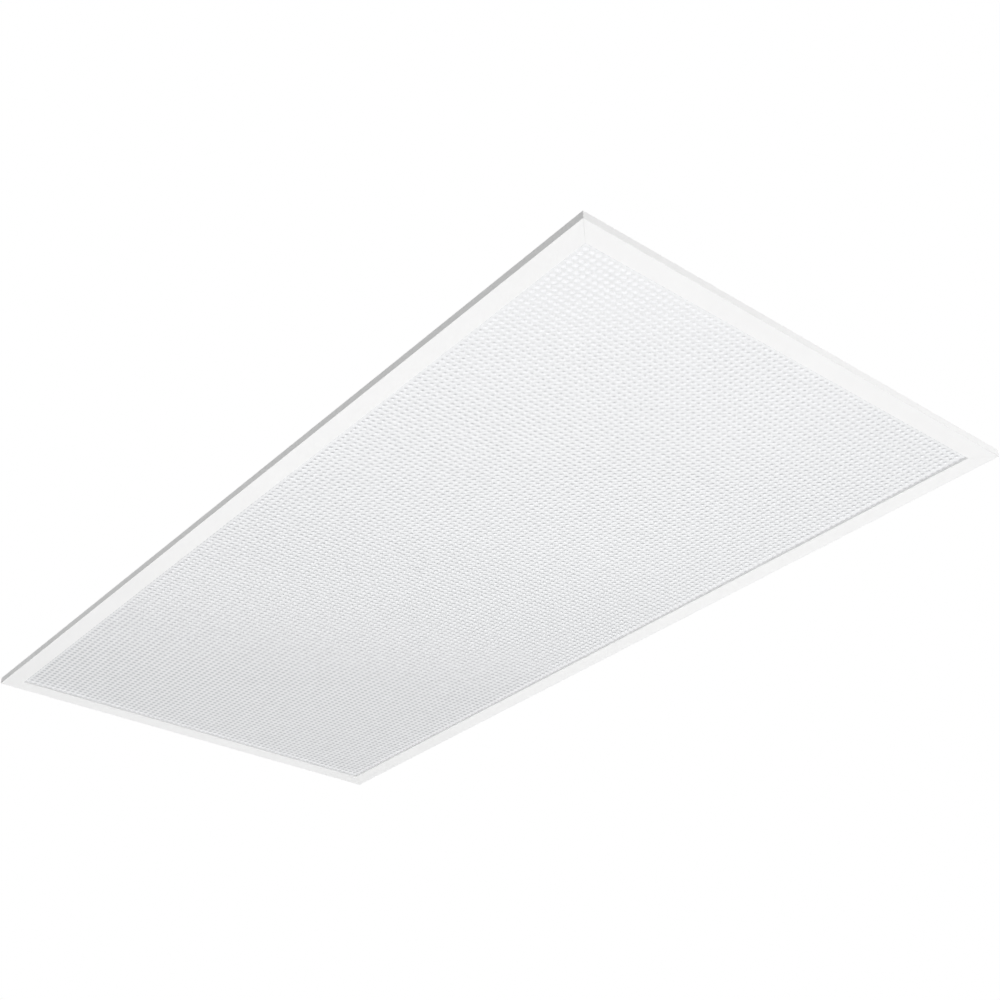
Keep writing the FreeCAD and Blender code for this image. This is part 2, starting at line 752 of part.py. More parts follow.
def knockout_discs():
    """Blanks in three of the four knockouts; the fourth is open for the supply."""
    discs = []
    for sx in (-1, 1):
        for place in knockout_places(sx):
            if sx > 0 or place.y > 0:
                radius = KNOCKOUT_R - KNOCKOUT_SHEAR
                discs.append(rod(radius, place, place - V(sx * BOX_T, 0, 0)))
    return discs


def cover_screw_hole(z0, z1, play):
    """The hole that the cover's screw goes through."""
    y = COVER_TAB_W / 2 - BOX_W / 2
    return rod(COVER_SCREW_R + play, V(0, y, z0), V(0, y, z1))


def driver_box_cover():
    """The hinged lid, with lips folded down on three sides and notched for the glands."""
    out_x = BOX_L / 2 + COVER_FIT + BOX_T
    out_y = BOX_W / 2 + COVER_FIT + BOX_T
    y_axis, z_axis = hinge_axis()
    lip_z = COVER_Z - COVER_LIP
    lip_end = BOX_W / 2 - COVER_FIT - 2 * BOX_T
    top = COVER_Z + BOX_T
    cover = block(-out_x, out_x, -out_y, lip_end, COVER_Z, top)
    cover = cover.fuse(block(-out_x, out_x, -out_y, BOX_T - out_y, lip_z, top))
    for sx in (-1, 1):
        edges = sorted((sx * out_x, sx * (out_x - BOX_T)))
        cover = cover.fuse(block(edges[0], edges[1], -out_y, lip_end, lip_z, top))
        lip = block(edges[0], edges[1], -out_y, lip_end, lip_z, COVER_Z)
        for place in knockout_places(sx):
            round_gland = rod(KNOCKOUT_R + GLAND_CLEAR, place, V(sx * out_x, place.y, place.z))
            cover = cover.cut(round_gland.common(lip))
    for span in knuckle_spans()[1::2]:
        cover = cover.fuse(block(span[0], span[1], lip_end, y_axis, COVER_Z, top))
        cover = cover.fuse(knuckle(span))
        cover = cover.cut(pin_hole(span))
    return cover.cut(cover_screw_hole(COVER_Z, top, HOLE_CLEAR))


def cover_hinge_pin():
    """The pin through the knuckles."""
    y, z = hinge_axis()
    spans = knuckle_spans()
    return rod(HINGE_PIN_R, V(spans[0][0] - PIN_PROUD, y, z), V(spans[-1][1] + PIN_PROUD, y, z))


def cover_screw():
    """The thumb screw that holds the lid shut, captive in the lid."""
    y = COVER_TAB_W / 2 - BOX_W / 2
    seat = V(0, y, COVER_Z + BOX_T)
    head = rod(COVER_SCREW_HEAD_R, seat, seat + V(0, 0, COVER_SCREW_HEAD_H))
    slot = block(-COVER_SCREW_HEAD_R, COVER_SCREW_HEAD_R,
                 y - COVER_SLOT_W / 2, y + COVER_SLOT_W / 2,
                 seat.z + COVER_SCREW_HEAD_H - COVER_SLOT_H, seat.z + COVER_SCREW_HEAD_H)
    return head.cut(slot).fuse(rod(COVER_SCREW_R, seat - V(0, 0, COVER_SCREW_L), seat))


# Driver

def driver_lead_places():
    """Where the mains and control leads enter the driver's near end."""
    first = DRIVER_Y - DRIVER_W / 2 + DRIVER_LEAD_PITCH
    return [V(DRIVER_X, first + DRIVER_LEAD_PITCH * i, DRIVER_LEAD_Z)
            for i in range(POLE_COUNT - 1)]


def output_lead_places():
    """Where the two output leads leave the driver's far end."""
    x = DRIVER_X + DRIVER_L
    return [V(x, DRIVER_Y + side * OUTPUT_LEAD_PITCH / 2, DRIVER_LEAD_Z) for side in (-1, 1)]


def driver_case():
    """The driver's steel can, open below, with a lead slot in each end."""
    x0, x1 = DRIVER_X, DRIVER_X + DRIVER_L
    y0, y1 = DRIVER_Y - DRIVER_W / 2, DRIVER_Y + DRIVER_W / 2
    z0 = BOX_FLOOR_Z + DRIVER_T
    z1 = BOX_FLOOR_Z + DRIVER_H
    case = block(x0, x1, y0, y1, z0, z1)
    uprights = [edge for edge in case.Edges if abs(edge.tangentAt(0).z) > 0.9]
    case = case.makeFillet(DRIVER_CORNER, uprights)
    case = case.cut(block(x0 + DRIVER_T, x1 - DRIVER_T, y0 + DRIVER_T, y1 - DRIVER_T,
                          z0, z1 - DRIVER_T))
    for places, start in ((driver_lead_places(), x0), (output_lead_places(), x1 - DRIVER_T)):
        low = min(place.y for place in places) - LEAD_R - LEAD_FIT
        high = max(place.y for place in places) + LEAD_R + LEAD_FIT
        z = places[0].z
        case = case.cut(block(start, start + DRIVER_T, low, high,
                              z - LEAD_R - LEAD_FIT, z + LEAD_R + LEAD_FIT))
    return case


def driver_ear_places():
    """The two screws that hold the driver down."""
    middle = DRIVER_X + DRIVER_L / 2
    reach = DRIVER_L / 2 + DRIVER_EAR / 2
    y = DRIVER_Y + DRIVER_EAR_Y
    return [V(middle + side * reach, y, BOX_FLOOR_Z + DRIVER_T) for side in (-1, 1)]


def driver_base():
    """The plate under the can, with an ear at each end."""
    x0, x1 = DRIVER_X, DRIVER_X + DRIVER_L
    y0, y1 = DRIVER_Y - DRIVER_W / 2, DRIVER_Y + DRIVER_W / 2
    base = block(x0, x1, y0, y1, BOX_FLOOR_Z, BOX_FLOOR_Z + DRIVER_T)
    for place in driver_ear_places():
        ear = block(place.x - DRIVER_EAR / 2, place.x + DRIVER_EAR / 2,
                    place.y - DRIVER_EAR / 2, place.y + DRIVER_EAR / 2,
                    BOX_FLOOR_Z, BOX_FLOOR_Z + DRIVER_T)
        base = base.fuse(ear)
    for place in driver_ear_places():
        base = base.cut(rod(SCREW_R + HOLE_CLEAR, place - V(0, 0, DRIVER_T), place))
    return base


def driver_circuit():
    """The board in the driver with its largest parts, as one soldered assembly."""
    inset = DRIVER_T + BOARD_CLEAR
    x0, x1 = DRIVER_X + inset, DRIVER_X + DRIVER_L - inset
    y0 = DRIVER_Y - DRIVER_W / 2 + inset
    y1 = DRIVER_Y + DRIVER_W / 2 - inset
    z0 = BOX_FLOOR_Z + DRIVER_T + STANDOFF_H
    top = z0 + BOARD_T
    board = block(x0, x1, y0, y1, z0, top)
    middle = DRIVER_X + DRIVER_L / 2
    board = board.fuse(block(middle - TRANSFORMER_L / 2, middle + TRANSFORMER_L / 2,
                             DRIVER_Y - TRANSFORMER_W / 2, DRIVER_Y + TRANSFORMER_W / 2,
                             top, top + TRANSFORMER_H))
    for side in (-1, 1):
        foot = V(middle + side * CAPACITOR_X, DRIVER_Y + CAPACITOR_Y, top)
        can = facet_bar(CAPACITOR_R, CAPACITOR_SIDES, foot, foot + V(0, 0, CAPACITOR_H))
        board = board.fuse(can)
    half = STANDOFF_W / 2
    for sx, sy in CORNERS:
        x = middle + sx * (DRIVER_L / 2 - STANDOFF_X)
        y = DRIVER_Y + sy * (DRIVER_W / 2 - STANDOFF_Y)
        board = board.fuse(block(x - half, x + half, y - half, y + half, z0 - STANDOFF_H, z0))
    return board


def driver_screws():
    """Screws through the ears into the box floor."""
    return [hex_screw(place, DRIVER_T + BOX_T) for place in driver_ear_places()]


# Lever terminal block

def pole_places():
    """Distance across of each pole from the block's middle."""
    return [POLE_PITCH * (i - (POLE_COUNT - 1) / 2) for i in range(POLE_COUNT)]


def block_half_width():
    """Half the terminal block's width."""
    return POLE_PITCH * POLE_COUNT / 2 + BLOCK_WALL / 2


def pocket_half_width():
    """Half the width of one pole's pocket."""
    return (POLE_PITCH - BLOCK_WALL) / 2


def lever_pivot(y):
    """Middle of one lever's trunnions."""
    return V(BLOCK_X + LEVER_PIVOT_X, y, BOX_FLOOR_Z + LEVER_PIVOT_Z)


def terminal_block():
    """The moulded body: a pocket for each pole, wire entries and trunnion holes."""
    x0, x1 = BLOCK_X, BLOCK_X + BLOCK_D
    half = block_half_width()
    z0 = BOX_FLOOR_Z
    body = block(x0, x1, -half, half, z0, z0 + BLOCK_H)
    front = [edge for edge in body.Edges
             if all(abs(v.Point.x - x0) < 1e-6 and v.Point.z > z0 + 1e-6 for v in edge.Vertexes)]
    body = body.makeChamfer(BLOCK_CHAMFER, front)
    pocket = pocket_half_width()
    notch_z = z0 + LEVER_PIVOT_Z - LEVER_NECK - LEVER_SWING
    for y in pole_places():
        body = body.cut(block(x0 + POCKET_START, x1 - BLOCK_WALL, y - pocket, y + pocket,
                              z0 + POCKET_FLOOR, z0 + BLOCK_H))
        body = body.cut(block(x1 - BLOCK_WALL, x1, y - pocket, y + pocket,
                              notch_z, z0 + BLOCK_H))
        entry = V(x0, y, z0 + ENTRY_Z)
        body = body.cut(rod(ENTRY_R, entry, entry + V(POCKET_START, 0, 0)))
        half_hole = LEAD_R + LEAD_FIT
        outlet_z = z0 + ENTRY_Z - OUTLET_DROP
        body = body.cut(block(x1 - BLOCK_WALL, x1, y - half_hole, y + half_hole,
                              outlet_z - half_hole, outlet_z + half_hole))
    pivot = lever_pivot(0)
    bore = rod(TRUNNION_R + TRUNNION_FIT, pivot - V(0, half, 0), pivot + V(0, half, 0))
    return body.cut(bore)


def terminal_spring(y):
    """The folded leaf that grips a wire under one lever."""
    width = POLE_PITCH - BLOCK_WALL - 2 * LEVER_SIDE_CLEAR
    x0 = BLOCK_X + POCKET_START + SPRING_END
    x1 = BLOCK_X + BLOCK_D - BLOCK_WALL - SPRING_END
    z = BOX_FLOOR_Z + POCKET_FLOOR
    rise = LEVER_PIVOT_Z - LEVER_CAM_R - POCKET_FLOOR - BODY_GAP
    tip = x0 + SPRING_TIP
    outline = [(x0, 0), (x1, 0), (x1, SPRING_HEEL + SPRING_T), (tip, rise), (tip, rise - SPRING_T)]
    outline += [(x1 - SPRING_T, SPRING_HEEL), (x1 - SPRING_T, SPRING_T), (x0, SPRING_T)]
    points = [V(x, y - width / 2, z + up) for x, up in outline]
    return prism(points, V(0, width, 0))


def terminal_lever(y):
    """One lever: a round cam, a neck, an arm over the block and two trunnions."""
    width = POLE_PITCH - BLOCK_WALL - 2 * LEVER_SIDE_CLEAR
    pivot = lever_pivot(y)
    side = V(0, width / 2, 0)
    arm_z = BOX_FLOOR_Z + BLOCK_H + BODY_GAP
    tip_x = BLOCK_X - LEVER_GRIP
    lever = rod(LEVER_CAM_R, pivot - side, pivot + side)
    lever = lever.fuse(block(pivot.x - LEVER_NECK, pivot.x + LEVER_NECK,
                             y - width / 2, y + width / 2, pivot.z, arm_z + LEVER_ARM_T))
    arm = block(tip_x, pivot.x, y - width / 2, y + width / 2, arm_z, arm_z + LEVER_ARM_T)
    lever = lever.fuse(arm)
    grip = [V(tip_x, y - width / 2, arm_z + LEVER_ARM_T)]
    grip.append(grip[0] + V(0, 0, LEVER_GRIP_H))
    grip.append(grip[0] + V(LEVER_GRIP_L, 0, 0))
    lever = lever.fuse(prism(grip, V(0, width, 0)))
    reach = V(0, width / 2 + TRUNNION_L, 0)
    return lever.fuse(rod(TRUNNION_R, pivot - reach, pivot + reach))


# Leads

def block_outlet(pole):
    """Inner end of the lead that leaves the back of one pole."""
    y = pole_places()[pole]
    return V(BLOCK_X + BLOCK_D - BLOCK_WALL, y, BOX_FLOOR_Z + ENTRY_Z - OUTLET_DROP)


def driver_lead(pole, place):
    """A lead from one pole to the driver, with an easy double bend."""
    start = block_outlet(pole)
    end = place + V(DRIVER_T, 0, 0)
    turn_x = start.x + LEAD_RUN + LEAD_STAGGER * (POLE_COUNT - pole)
    corners = [V(turn_x, start.y, start.z), V(turn_x + LEAD_RUN, end.y, end.z)]
    return lead([start, *corners, end], LEAD_R, LEAD_BEND)


def earth_place():
    """Seat of the earth screw on the box floor."""
    return V(EARTH_INSET - BOX_L / 2, EARTH_SIDE - BOX_W / 2, BOX_FLOOR_Z)


def earth_lead():
    """The lead from the first pole round the block to the earth screw."""
    start = block_outlet(0)
    lug = earth_place() + V(EARTH_LUG_R + EARTH_BARREL_L, 0, EARTH_BARREL_R)
    turn = V(start.x + EARTH_RUN, start.y, start.z)
    side = V(start.x + EARTH_RUN, lug.y, lug.z)
    return lead([start, turn, side, lug - V(EARTH_BARREL_L / 2, 0, 0)], LEAD_R, LEAD_BEND)


def earth_lug():
    """Ring tongue and crimped barrel under the earth screw."""
    seat = earth_place()
    ring = rod(EARTH_LUG_R, seat, seat + V(0, 0, EARTH_LUG_T))
    start = seat + V(EARTH_LUG_R, 0, EARTH_BARREL_R)
    end = start + V(EARTH_BARREL_L, 0, 0)
    half = EARTH_NECK_W / 2
    neck = block(seat.x, start.x + EARTH_NECK_LAP, seat.y - half, seat.y + half,
                 seat.z, seat.z + EARTH_LUG_T)
    lug = ring.fuse(neck).fuse(rod(EARTH_BARREL_R, start, end))
    lug = lug.cut(rod(LEAD_R + LEAD_FIT, start + V(EARTH_BARREL_L / 2, 0, 0), end))
    return lug.cut(rod(SCREW_R + HOLE_CLEAR, seat, seat + V(0, 0, EARTH_LUG_T)))


def earth_screw():
    """Hexagon screw that bonds the earth lead to the box."""
    seat = earth_place() + V(0, 0, EARTH_LUG_T)
    return hex_screw(seat, EARTH_LUG_T + BOX_T, SCREW_R, EARTH_HEAD_R, EARTH_HEAD_H)


def output_drops():
    """Foot of each output lead's upright run through the bushing."""
    middle = bushing_place()
    near, far = output_lead_places()
    half = BUSHING_LEAD_PITCH / 2
    return [V(middle.x - half, near.y, middle.z), V(middle.x + half, far.y, middle.z)]


def output_leads():
    """Two leads from the driver down through the bushing to the middle strip."""
    z = PAN_INSIDE_Z - REFLECTOR_DROP / 2
    leads = []
    for place, drop in zip(output_lead_places(), output_drops()):
        start = place - V(DRIVER_T, 0, 0)
        corners = [V(drop.x, drop.y, start.z), V(drop.x, drop.y, z)]
        leads.append(lead([start, *corners, V(drop.x, STRIP_W / 2, z)], LINK_R, LEAD_BEND / 2))
    return leads


def wire_bushing():
    """Rubber bushing that keeps the leads off the sheet edges, with a slot for each."""
    seat = bushing_place()
    low = V(seat.x, seat.y, PAN_INSIDE_Z)
    bushing = rod(BUSHING_R + BUSHING_LIP, seat, seat + V(0, 0, BUSHING_LIP_H))
    bushing = bushing.fuse(rod(BUSHING_R, low, seat))
    half = LINK_R + LEAD_FIT
    for drop in output_drops():
        bushing = bushing.cut(block(drop.x - half, drop.x + half,
                                    drop.y - half - BUSHING_SAG, drop.y + half,
                                    PAN_INSIDE_Z, seat.z + BUSHING_LIP_H))
    return bushing


# Selectors

def switch_front():
    """Inside face of the box wall that the selectors stand behind."""
    return BOX_T - BOX_W / 2


def selector_switch(x):
    """The body of one slide switch, open towards the wall."""
    y0 = switch_front()
    z = BOX_FLOOR_Z + SELECTOR_Z
    body = block(x - SWITCH_L / 2, x + SWITCH_L / 2, y0, y0 + SWITCH_D,
                 z - SWITCH_H / 2, z + SWITCH_H / 2)
    half = SWITCH_SLOT_L / 2
    rise = SLIDER_H / 2 + BODY_GAP
    return body.cut(block(x - half, x + half, y0, y0 + SWITCH_SLOT_D, z - rise, z + rise))


def selector_slider(x):
    """The knob of one switch, through its slot in the box wall."""
    z = BOX_FLOOR_Z + SELECTOR_Z
    back = switch_front() + SWITCH_SLOT_D - BODY_GAP
    front = -BOX_W / 2 - SLIDER_OUT
    knob = block(x - SLIDER_L / 2, x + SLIDER_L / 2, front, back,
                 z - SLIDER_H / 2, z + SLIDER_H / 2)
    groove = block(x - SLIDER_GROOVE_W / 2, x + SLIDER_GROOVE_W / 2,
                   front, front + SLIDER_GROOVE_D, z - SLIDER_H / 2, z + SLIDER_H / 2)
    return knob.cut(groove)


def selector_middle():
    """Middle of the selector board."""
    return sum(SELECTOR_X) / 2, switch_front() + SWITCH_D, BOX_FLOOR_Z + SELECTOR_Z


def selector_board():
    """The small board that carries both switches."""
    x, y, z = selector_middle()
    return block(x - SELECTOR_BOARD_L / 2, x + SELECTOR_BOARD_L / 2, y, y + BOARD_T,
                 z - SELECTOR_BOARD_H / 2, z + SELECTOR_BOARD_H / 2)


def selector_posts():
    """Two posts between the box wall and the selector board."""
    x, y, z = selector_middle()
    reach = SELECTOR_BOARD_L / 2 - 2 * SELECTOR_POST_R
    posts = []
    for side in (-1, 1):
        start = V(x + side * reach, switch_front(), z)
        end = start + V(0, SWITCH_D, 0)
        posts.append(facet_bar(SELECTOR_POST_R, SELECTOR_POST_SIDES, start, end))
    return posts


def selector_ribbon():
    """Flat lead from the selector board to the side of the driver."""
    x, y, z = selector_middle()
    start = V(x - RIBBON_W / 2, y + BOARD_T, z)
    end = V(start.x, DRIVER_Y - DRIVER_W / 2, DRIVER_LEAD_Z)
    low = BOX_FLOOR_Z + RIBBON_T
    leave = start + V(0, RIBBON_RUN, 0)
    arrive = end - V(0, RIBBON_RUN, 0)
    points = [start, leave, V(start.x, leave.y + leave.z - low, low)]
    points += [V(start.x, arrive.y - arrive.z + low, low), arrive, end]
    section = []
    for across, up in ((0, -0.5), (1, -0.5), (1, 0.5), (0, 0.5)):
        section.append(start + V(RIBBON_W * across, 0, RIBBON_T * up))
    return swept(bent_path(points, RIBBON_BEND), section)


# Grid clips

def grid_clip(sx, top):
    """An arm that swings out over the ceiling grid, parked along the panel's edge."""
    z = top.z + BODY_GAP
    half = CLIP_W / 2
    reach = -sx * CLIP_ARM
    hub = rod(half, V(top.x, top.y, z), V(top.x, top.y, z + CLIP_T))
    xs = sorted((top.x, top.x + reach))
    arm = hub.fuse(block(xs[0], xs[1], top.y - half, top.y + half, z, z + CLIP_T))
    bead_start = V(top.x - sx * (CLIP_HEAD_R + CLIP_BEAD_W), top.y, z + CLIP_T)
    bead_end = V(top.x - sx * (CLIP_ARM - 2 * CLIP_BEAD_W), top.y, z + CLIP_T)
    bead = [bead_start + V(0, -CLIP_BEAD_W / 2, 0), bead_start + V(0, CLIP_BEAD_W / 2, 0)]
    bead.append(bead_start + V(0, CLIP_BEAD_W / 2 - CLIP_BEAD_H, CLIP_BEAD_H))
    bead.append(bead_start + V(0, CLIP_BEAD_H - CLIP_BEAD_W / 2, CLIP_BEAD_H))
    arm = arm.fuse(prism(bead, bead_end - bead_start))
    tab_x = sorted((top.x + reach, top.x + reach + sx * CLIP_T))
    arm = arm.fuse(block(tab_x[0], tab_x[1], top.y - half, top.y + half, z, z + CLIP_TAB_H))
    hole = rod(CLIP_PIVOT_R + CLIP_PIVOT_FIT, V(top.x, top.y, z), V(top.x, top.y, z + CLIP_T))
    return arm.cut(hole)


def clip_rivet(top):
    """Shouldered rivet that a grid clip turns on."""
    seat = top + V(0, 0, 2 * BODY_GAP + CLIP_T)
    head = rod(CLIP_HEAD_R, seat, seat + V(0, 0, CLIP_HEAD_H))
    return head.fuse(rod(CLIP_PIVOT_R, top - V(0, 0, SHEET_T + RIVET_TAIL), seat))


# Hanger brackets

def hanger_bracket(sx, foot):
    """Steel angle welded to the pan, with a hole for a hanger wire."""
    half = HANGER_W / 2
    xs = sorted((foot.x, foot.x - sx * HANGER_BASE))
    bracket = block(xs[0], xs[1], foot.y - half, foot.y + half, foot.z, foot.z + HANGER_T)
    leg_x = sorted((foot.x, foot.x - sx * HANGER_T))
    leg = block(leg_x[0], leg_x[1], foot.y - half, foot.y + half, foot.z, foot.z + HANGER_H)
    tops = [edge for edge in leg.Edges
            if all(v.Point.z > foot.z + HANGER_H - 1e-3 for v in edge.Vertexes)
            and abs(edge.tangentAt(0).x) > 0.9]
    leg = leg.makeChamfer(HANGER_CORNER, tops)
    bracket = bracket.fuse(leg)
    middle = V(foot.x, foot.y, foot.z + HANGER_HOLE_Z)
    return bracket.cut(rod(HANGER_HOLE_R, middle, middle - V(sx * HANGER_T, 0, 0)))


def build():
    """Every piece of the light, by the name of its node."""
    pieces = {f"frame_rail_{side}": frame_rail(side) for side in SIDES}
    pieces["corner_keys"] = [corner_key(sx, sy) for sx, sy in CORNERS]
    pieces["prismatic_lens"] = sheet_in_frame(LENS_INSET, LENS_Z, LENS_T)
    pieces["diffuser_sheet"] = sheet_in_frame(LENS_INSET + DIFFUSER_INSET, DIFFUSER_Z, DIFFUSER_T)
    pieces["lens_gasket"] = [gasket_strip(side) for side in SIDES]
    pieces["back_pan"] = back_pan()
    pieces["pan_screws"] = pan_screws()
    pieces["reflector_sheet"] = reflector_sheet()
    rows = strip_places()
    for number, y in enumerate(rows, 1):
        pieces[f"led_strip_{number}"] = led_strip(y)
    sources = sum([led_places(y) for y in rows], [])
    pieces["led_chips"] = [led_chip(place) for place in sources]
    pieces["led_optics"] = [led_optic(place) for place in sources]
    pieces["strip_link_wires"] = link_wires()
    pieces["wire_bushing"] = wire_bushing()
    pieces["driver_box"] = driver_box()
    pieces["knockout_plate_left"] = knockout_plate(-1)
    pieces["knockout_plate_right"] = knockout_plate(1)
    pieces["knockout_discs"] = knockout_discs()
    pieces["driver_box_cover"] = driver_box_cover()
    pieces["cover_hinge_pin"] = cover_hinge_pin()
    pieces["cover_screw"] = cover_screw()
    pieces["driver_case"] = driver_case()
    pieces["driver_base"] = driver_base()
    pieces["driver_circuit"] = driver_circuit()
    pieces["driver_screws"] = driver_screws()
    pieces["terminal_block"] = terminal_block()
    pieces["terminal_springs"] = [terminal_spring(y) for y in pole_places()]
    names = ("earth", "line", "neutral", "dim_plus", "dim_minus")
    for name, y in zip(names, pole_places()):
        pieces[f"lever_{name}"] = terminal_lever(y)
    pieces["earth_wire"] = earth_lead()
    places = driver_lead_places()
    for pole, (name, place) in enumerate(zip(names[1:], places), 1):
        pieces[f"{name}_wire"] = driver_lead(pole, place)
    pieces["output_wires"] = output_leads()
    pieces["earth_lug"] = earth_lug()
    pieces["earth_screw"] = earth_screw()
    pieces["selector_switches"] = [selector_switch(x) for x in SELECTOR_X]
    pieces["selector_board"] = selector_board()
    pieces["selector_posts"] = selector_posts()
    pieces["selector_ribbon"] = selector_ribbon()
    pieces["colour_selector"] = selector_slider(SELECTOR_X[0])
    pieces["output_selector"] = selector_slider(SELECTOR_X[1])
    corner_names = ("left_front", "left_rear", "right_front", "right_rear")
    for name, (sx, sy, top) in zip(corner_names, clip_pivots()):
        pieces[f"grid_clip_{name}"] = grid_clip(sx, top)
    pieces["clip_rivets"] = [clip_rivet(top) for _, _, top in clip_pivots()]
    pieces["hanger_brackets"] = [hanger_bracket(sx, foot) for sx, foot in hanger_places()]
    return pieces


def save(pieces):
    """Writes one file for each node."""
    os.makedirs("parts", exist_ok=True)
    for name, piece in pieces.items():
        shape = Part.makeCompound(piece) if isinstance(piece, list) else piece
        shape.exportStep(f"parts/{name}.step")
        box = shape.BoundBox
        print(f"{name}: {len(shape.Solids)} solids, {shape.Volume:.0f} mm3, "
              f"z {box.ZMin:.2f} to {box.ZMax:.2f}, valid {shape.isValid()}")
    print(len(pieces), "nodes")


save(build())
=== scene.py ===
"""Visual model of a recessed troffer light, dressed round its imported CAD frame.

Lengths are in metres, in the frame of the CAD: X along the light, Y across it and Z up
into the ceiling void. The lens faces down.
"""

from __future__ import annotations

import json
import logging
import math
from collections.abc import Sequence
from dataclasses import dataclass, field
from enum import Enum
from typing import Any

import bmesh
import bpy
import numpy as np
from mathutils import Matrix, Vector
from mathutils.geometry import tessellate_polygon

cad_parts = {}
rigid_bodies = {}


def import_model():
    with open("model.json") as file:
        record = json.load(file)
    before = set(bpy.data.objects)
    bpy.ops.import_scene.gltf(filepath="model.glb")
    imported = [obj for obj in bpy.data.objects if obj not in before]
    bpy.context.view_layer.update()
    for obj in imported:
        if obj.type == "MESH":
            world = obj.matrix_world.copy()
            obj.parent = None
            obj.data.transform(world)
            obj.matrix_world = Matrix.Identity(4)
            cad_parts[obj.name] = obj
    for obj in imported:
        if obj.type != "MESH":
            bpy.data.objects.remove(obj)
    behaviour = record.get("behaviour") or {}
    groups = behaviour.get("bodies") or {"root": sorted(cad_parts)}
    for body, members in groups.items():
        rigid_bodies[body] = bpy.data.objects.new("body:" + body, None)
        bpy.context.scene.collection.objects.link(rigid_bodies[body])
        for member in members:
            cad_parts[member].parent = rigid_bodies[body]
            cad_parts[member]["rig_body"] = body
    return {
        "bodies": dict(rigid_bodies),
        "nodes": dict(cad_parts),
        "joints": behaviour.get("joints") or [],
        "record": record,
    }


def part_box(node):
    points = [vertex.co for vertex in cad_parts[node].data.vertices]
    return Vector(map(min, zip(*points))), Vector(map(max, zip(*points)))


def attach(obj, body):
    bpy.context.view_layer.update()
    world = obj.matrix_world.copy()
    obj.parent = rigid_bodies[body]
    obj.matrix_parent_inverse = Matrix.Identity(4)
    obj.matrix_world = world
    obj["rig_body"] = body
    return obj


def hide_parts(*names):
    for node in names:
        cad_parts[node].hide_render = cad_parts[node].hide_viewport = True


LOG = logging.getLogger("troffer")

MM = 0.001
DIMPLE_PITCH = 7.5 * MM

Colour = tuple[float, float, float]
Point = tuple[float, float, float]
Band = tuple[float, float]
Profile = tuple[tuple[float, float], ...]

WHITE: Colour = (1.0, 1.0, 1.0)
BLACK: Colour = (0.0, 0.0, 0.0)


def grey(value: float) -> Colour:
    """A colour with no hue."""
    return (value, value, value)


# Shader tools


class Wire:
    """An output socket of a shader tree, on which Python's operators add Math nodes."""

    def __init__(self, shader: Shader, socket: bpy.types.NodeSocket) -> None:
        """Keeps the tree and the socket."""
        self.shader = shader
        self.socket = socket

    def _math(self, operation: str, *values: Wire | float) -> Wire:
        """One Math node on these values."""
        return self.shader.node(
            "ShaderNodeMath", {"operation": operation}, dict(enumerate(values))
        )

    def __add__(self, other: Wire | float) -> Wire:
        """Sum."""
        return self._math("ADD", self, other)

    __radd__ = __add__

    def __mul__(self, other: Wire | float) -> Wire:
        """Product."""
        return self._math("MULTIPLY", self, other)

    __rmul__ = __mul__

    def __sub__(self, other: Wire | float) -> Wire:
        """Difference."""
        return self._math("SUBTRACT", self, other)

    def __rsub__(self, other: Wire | float) -> Wire:
        """Difference from a plain number."""
        return self._math("SUBTRACT", other, self)

    def __truediv__(self, other: Wire | float) -> Wire:
        """Quotient."""
        return self._math("DIVIDE", self, other)

    def __pow__(self, power: float) -> Wire:
        """Power."""
        return self._math("POWER", self, power)

    def __abs__(self) -> Wire:
        """Size without its sign."""
        return self._math("ABSOLUTE", self)

    def __lt__(self, other: Wire | float) -> Wire:
        """1 where this is the smaller one, else 0."""
        return self._math("LESS_THAN", self, other)

    def fraction(self) -> Wire:
        """What is left over whole numbers."""
        return self._math("FRACT", self)

    def largest(self, other: Wire | float) -> Wire:
        """The larger of two values."""
        return self._math("MAXIMUM", self, other)

    def smooth(self, start: float, end: float) -> Wire:
        """A soft step from 0 at start to 1 at end."""
        return self.shader.node(
            "ShaderNodeMapRange",
            {"interpolation_type": "SMOOTHSTEP"},
            {"Value": self, "From Min": start, "From Max": end},
        )


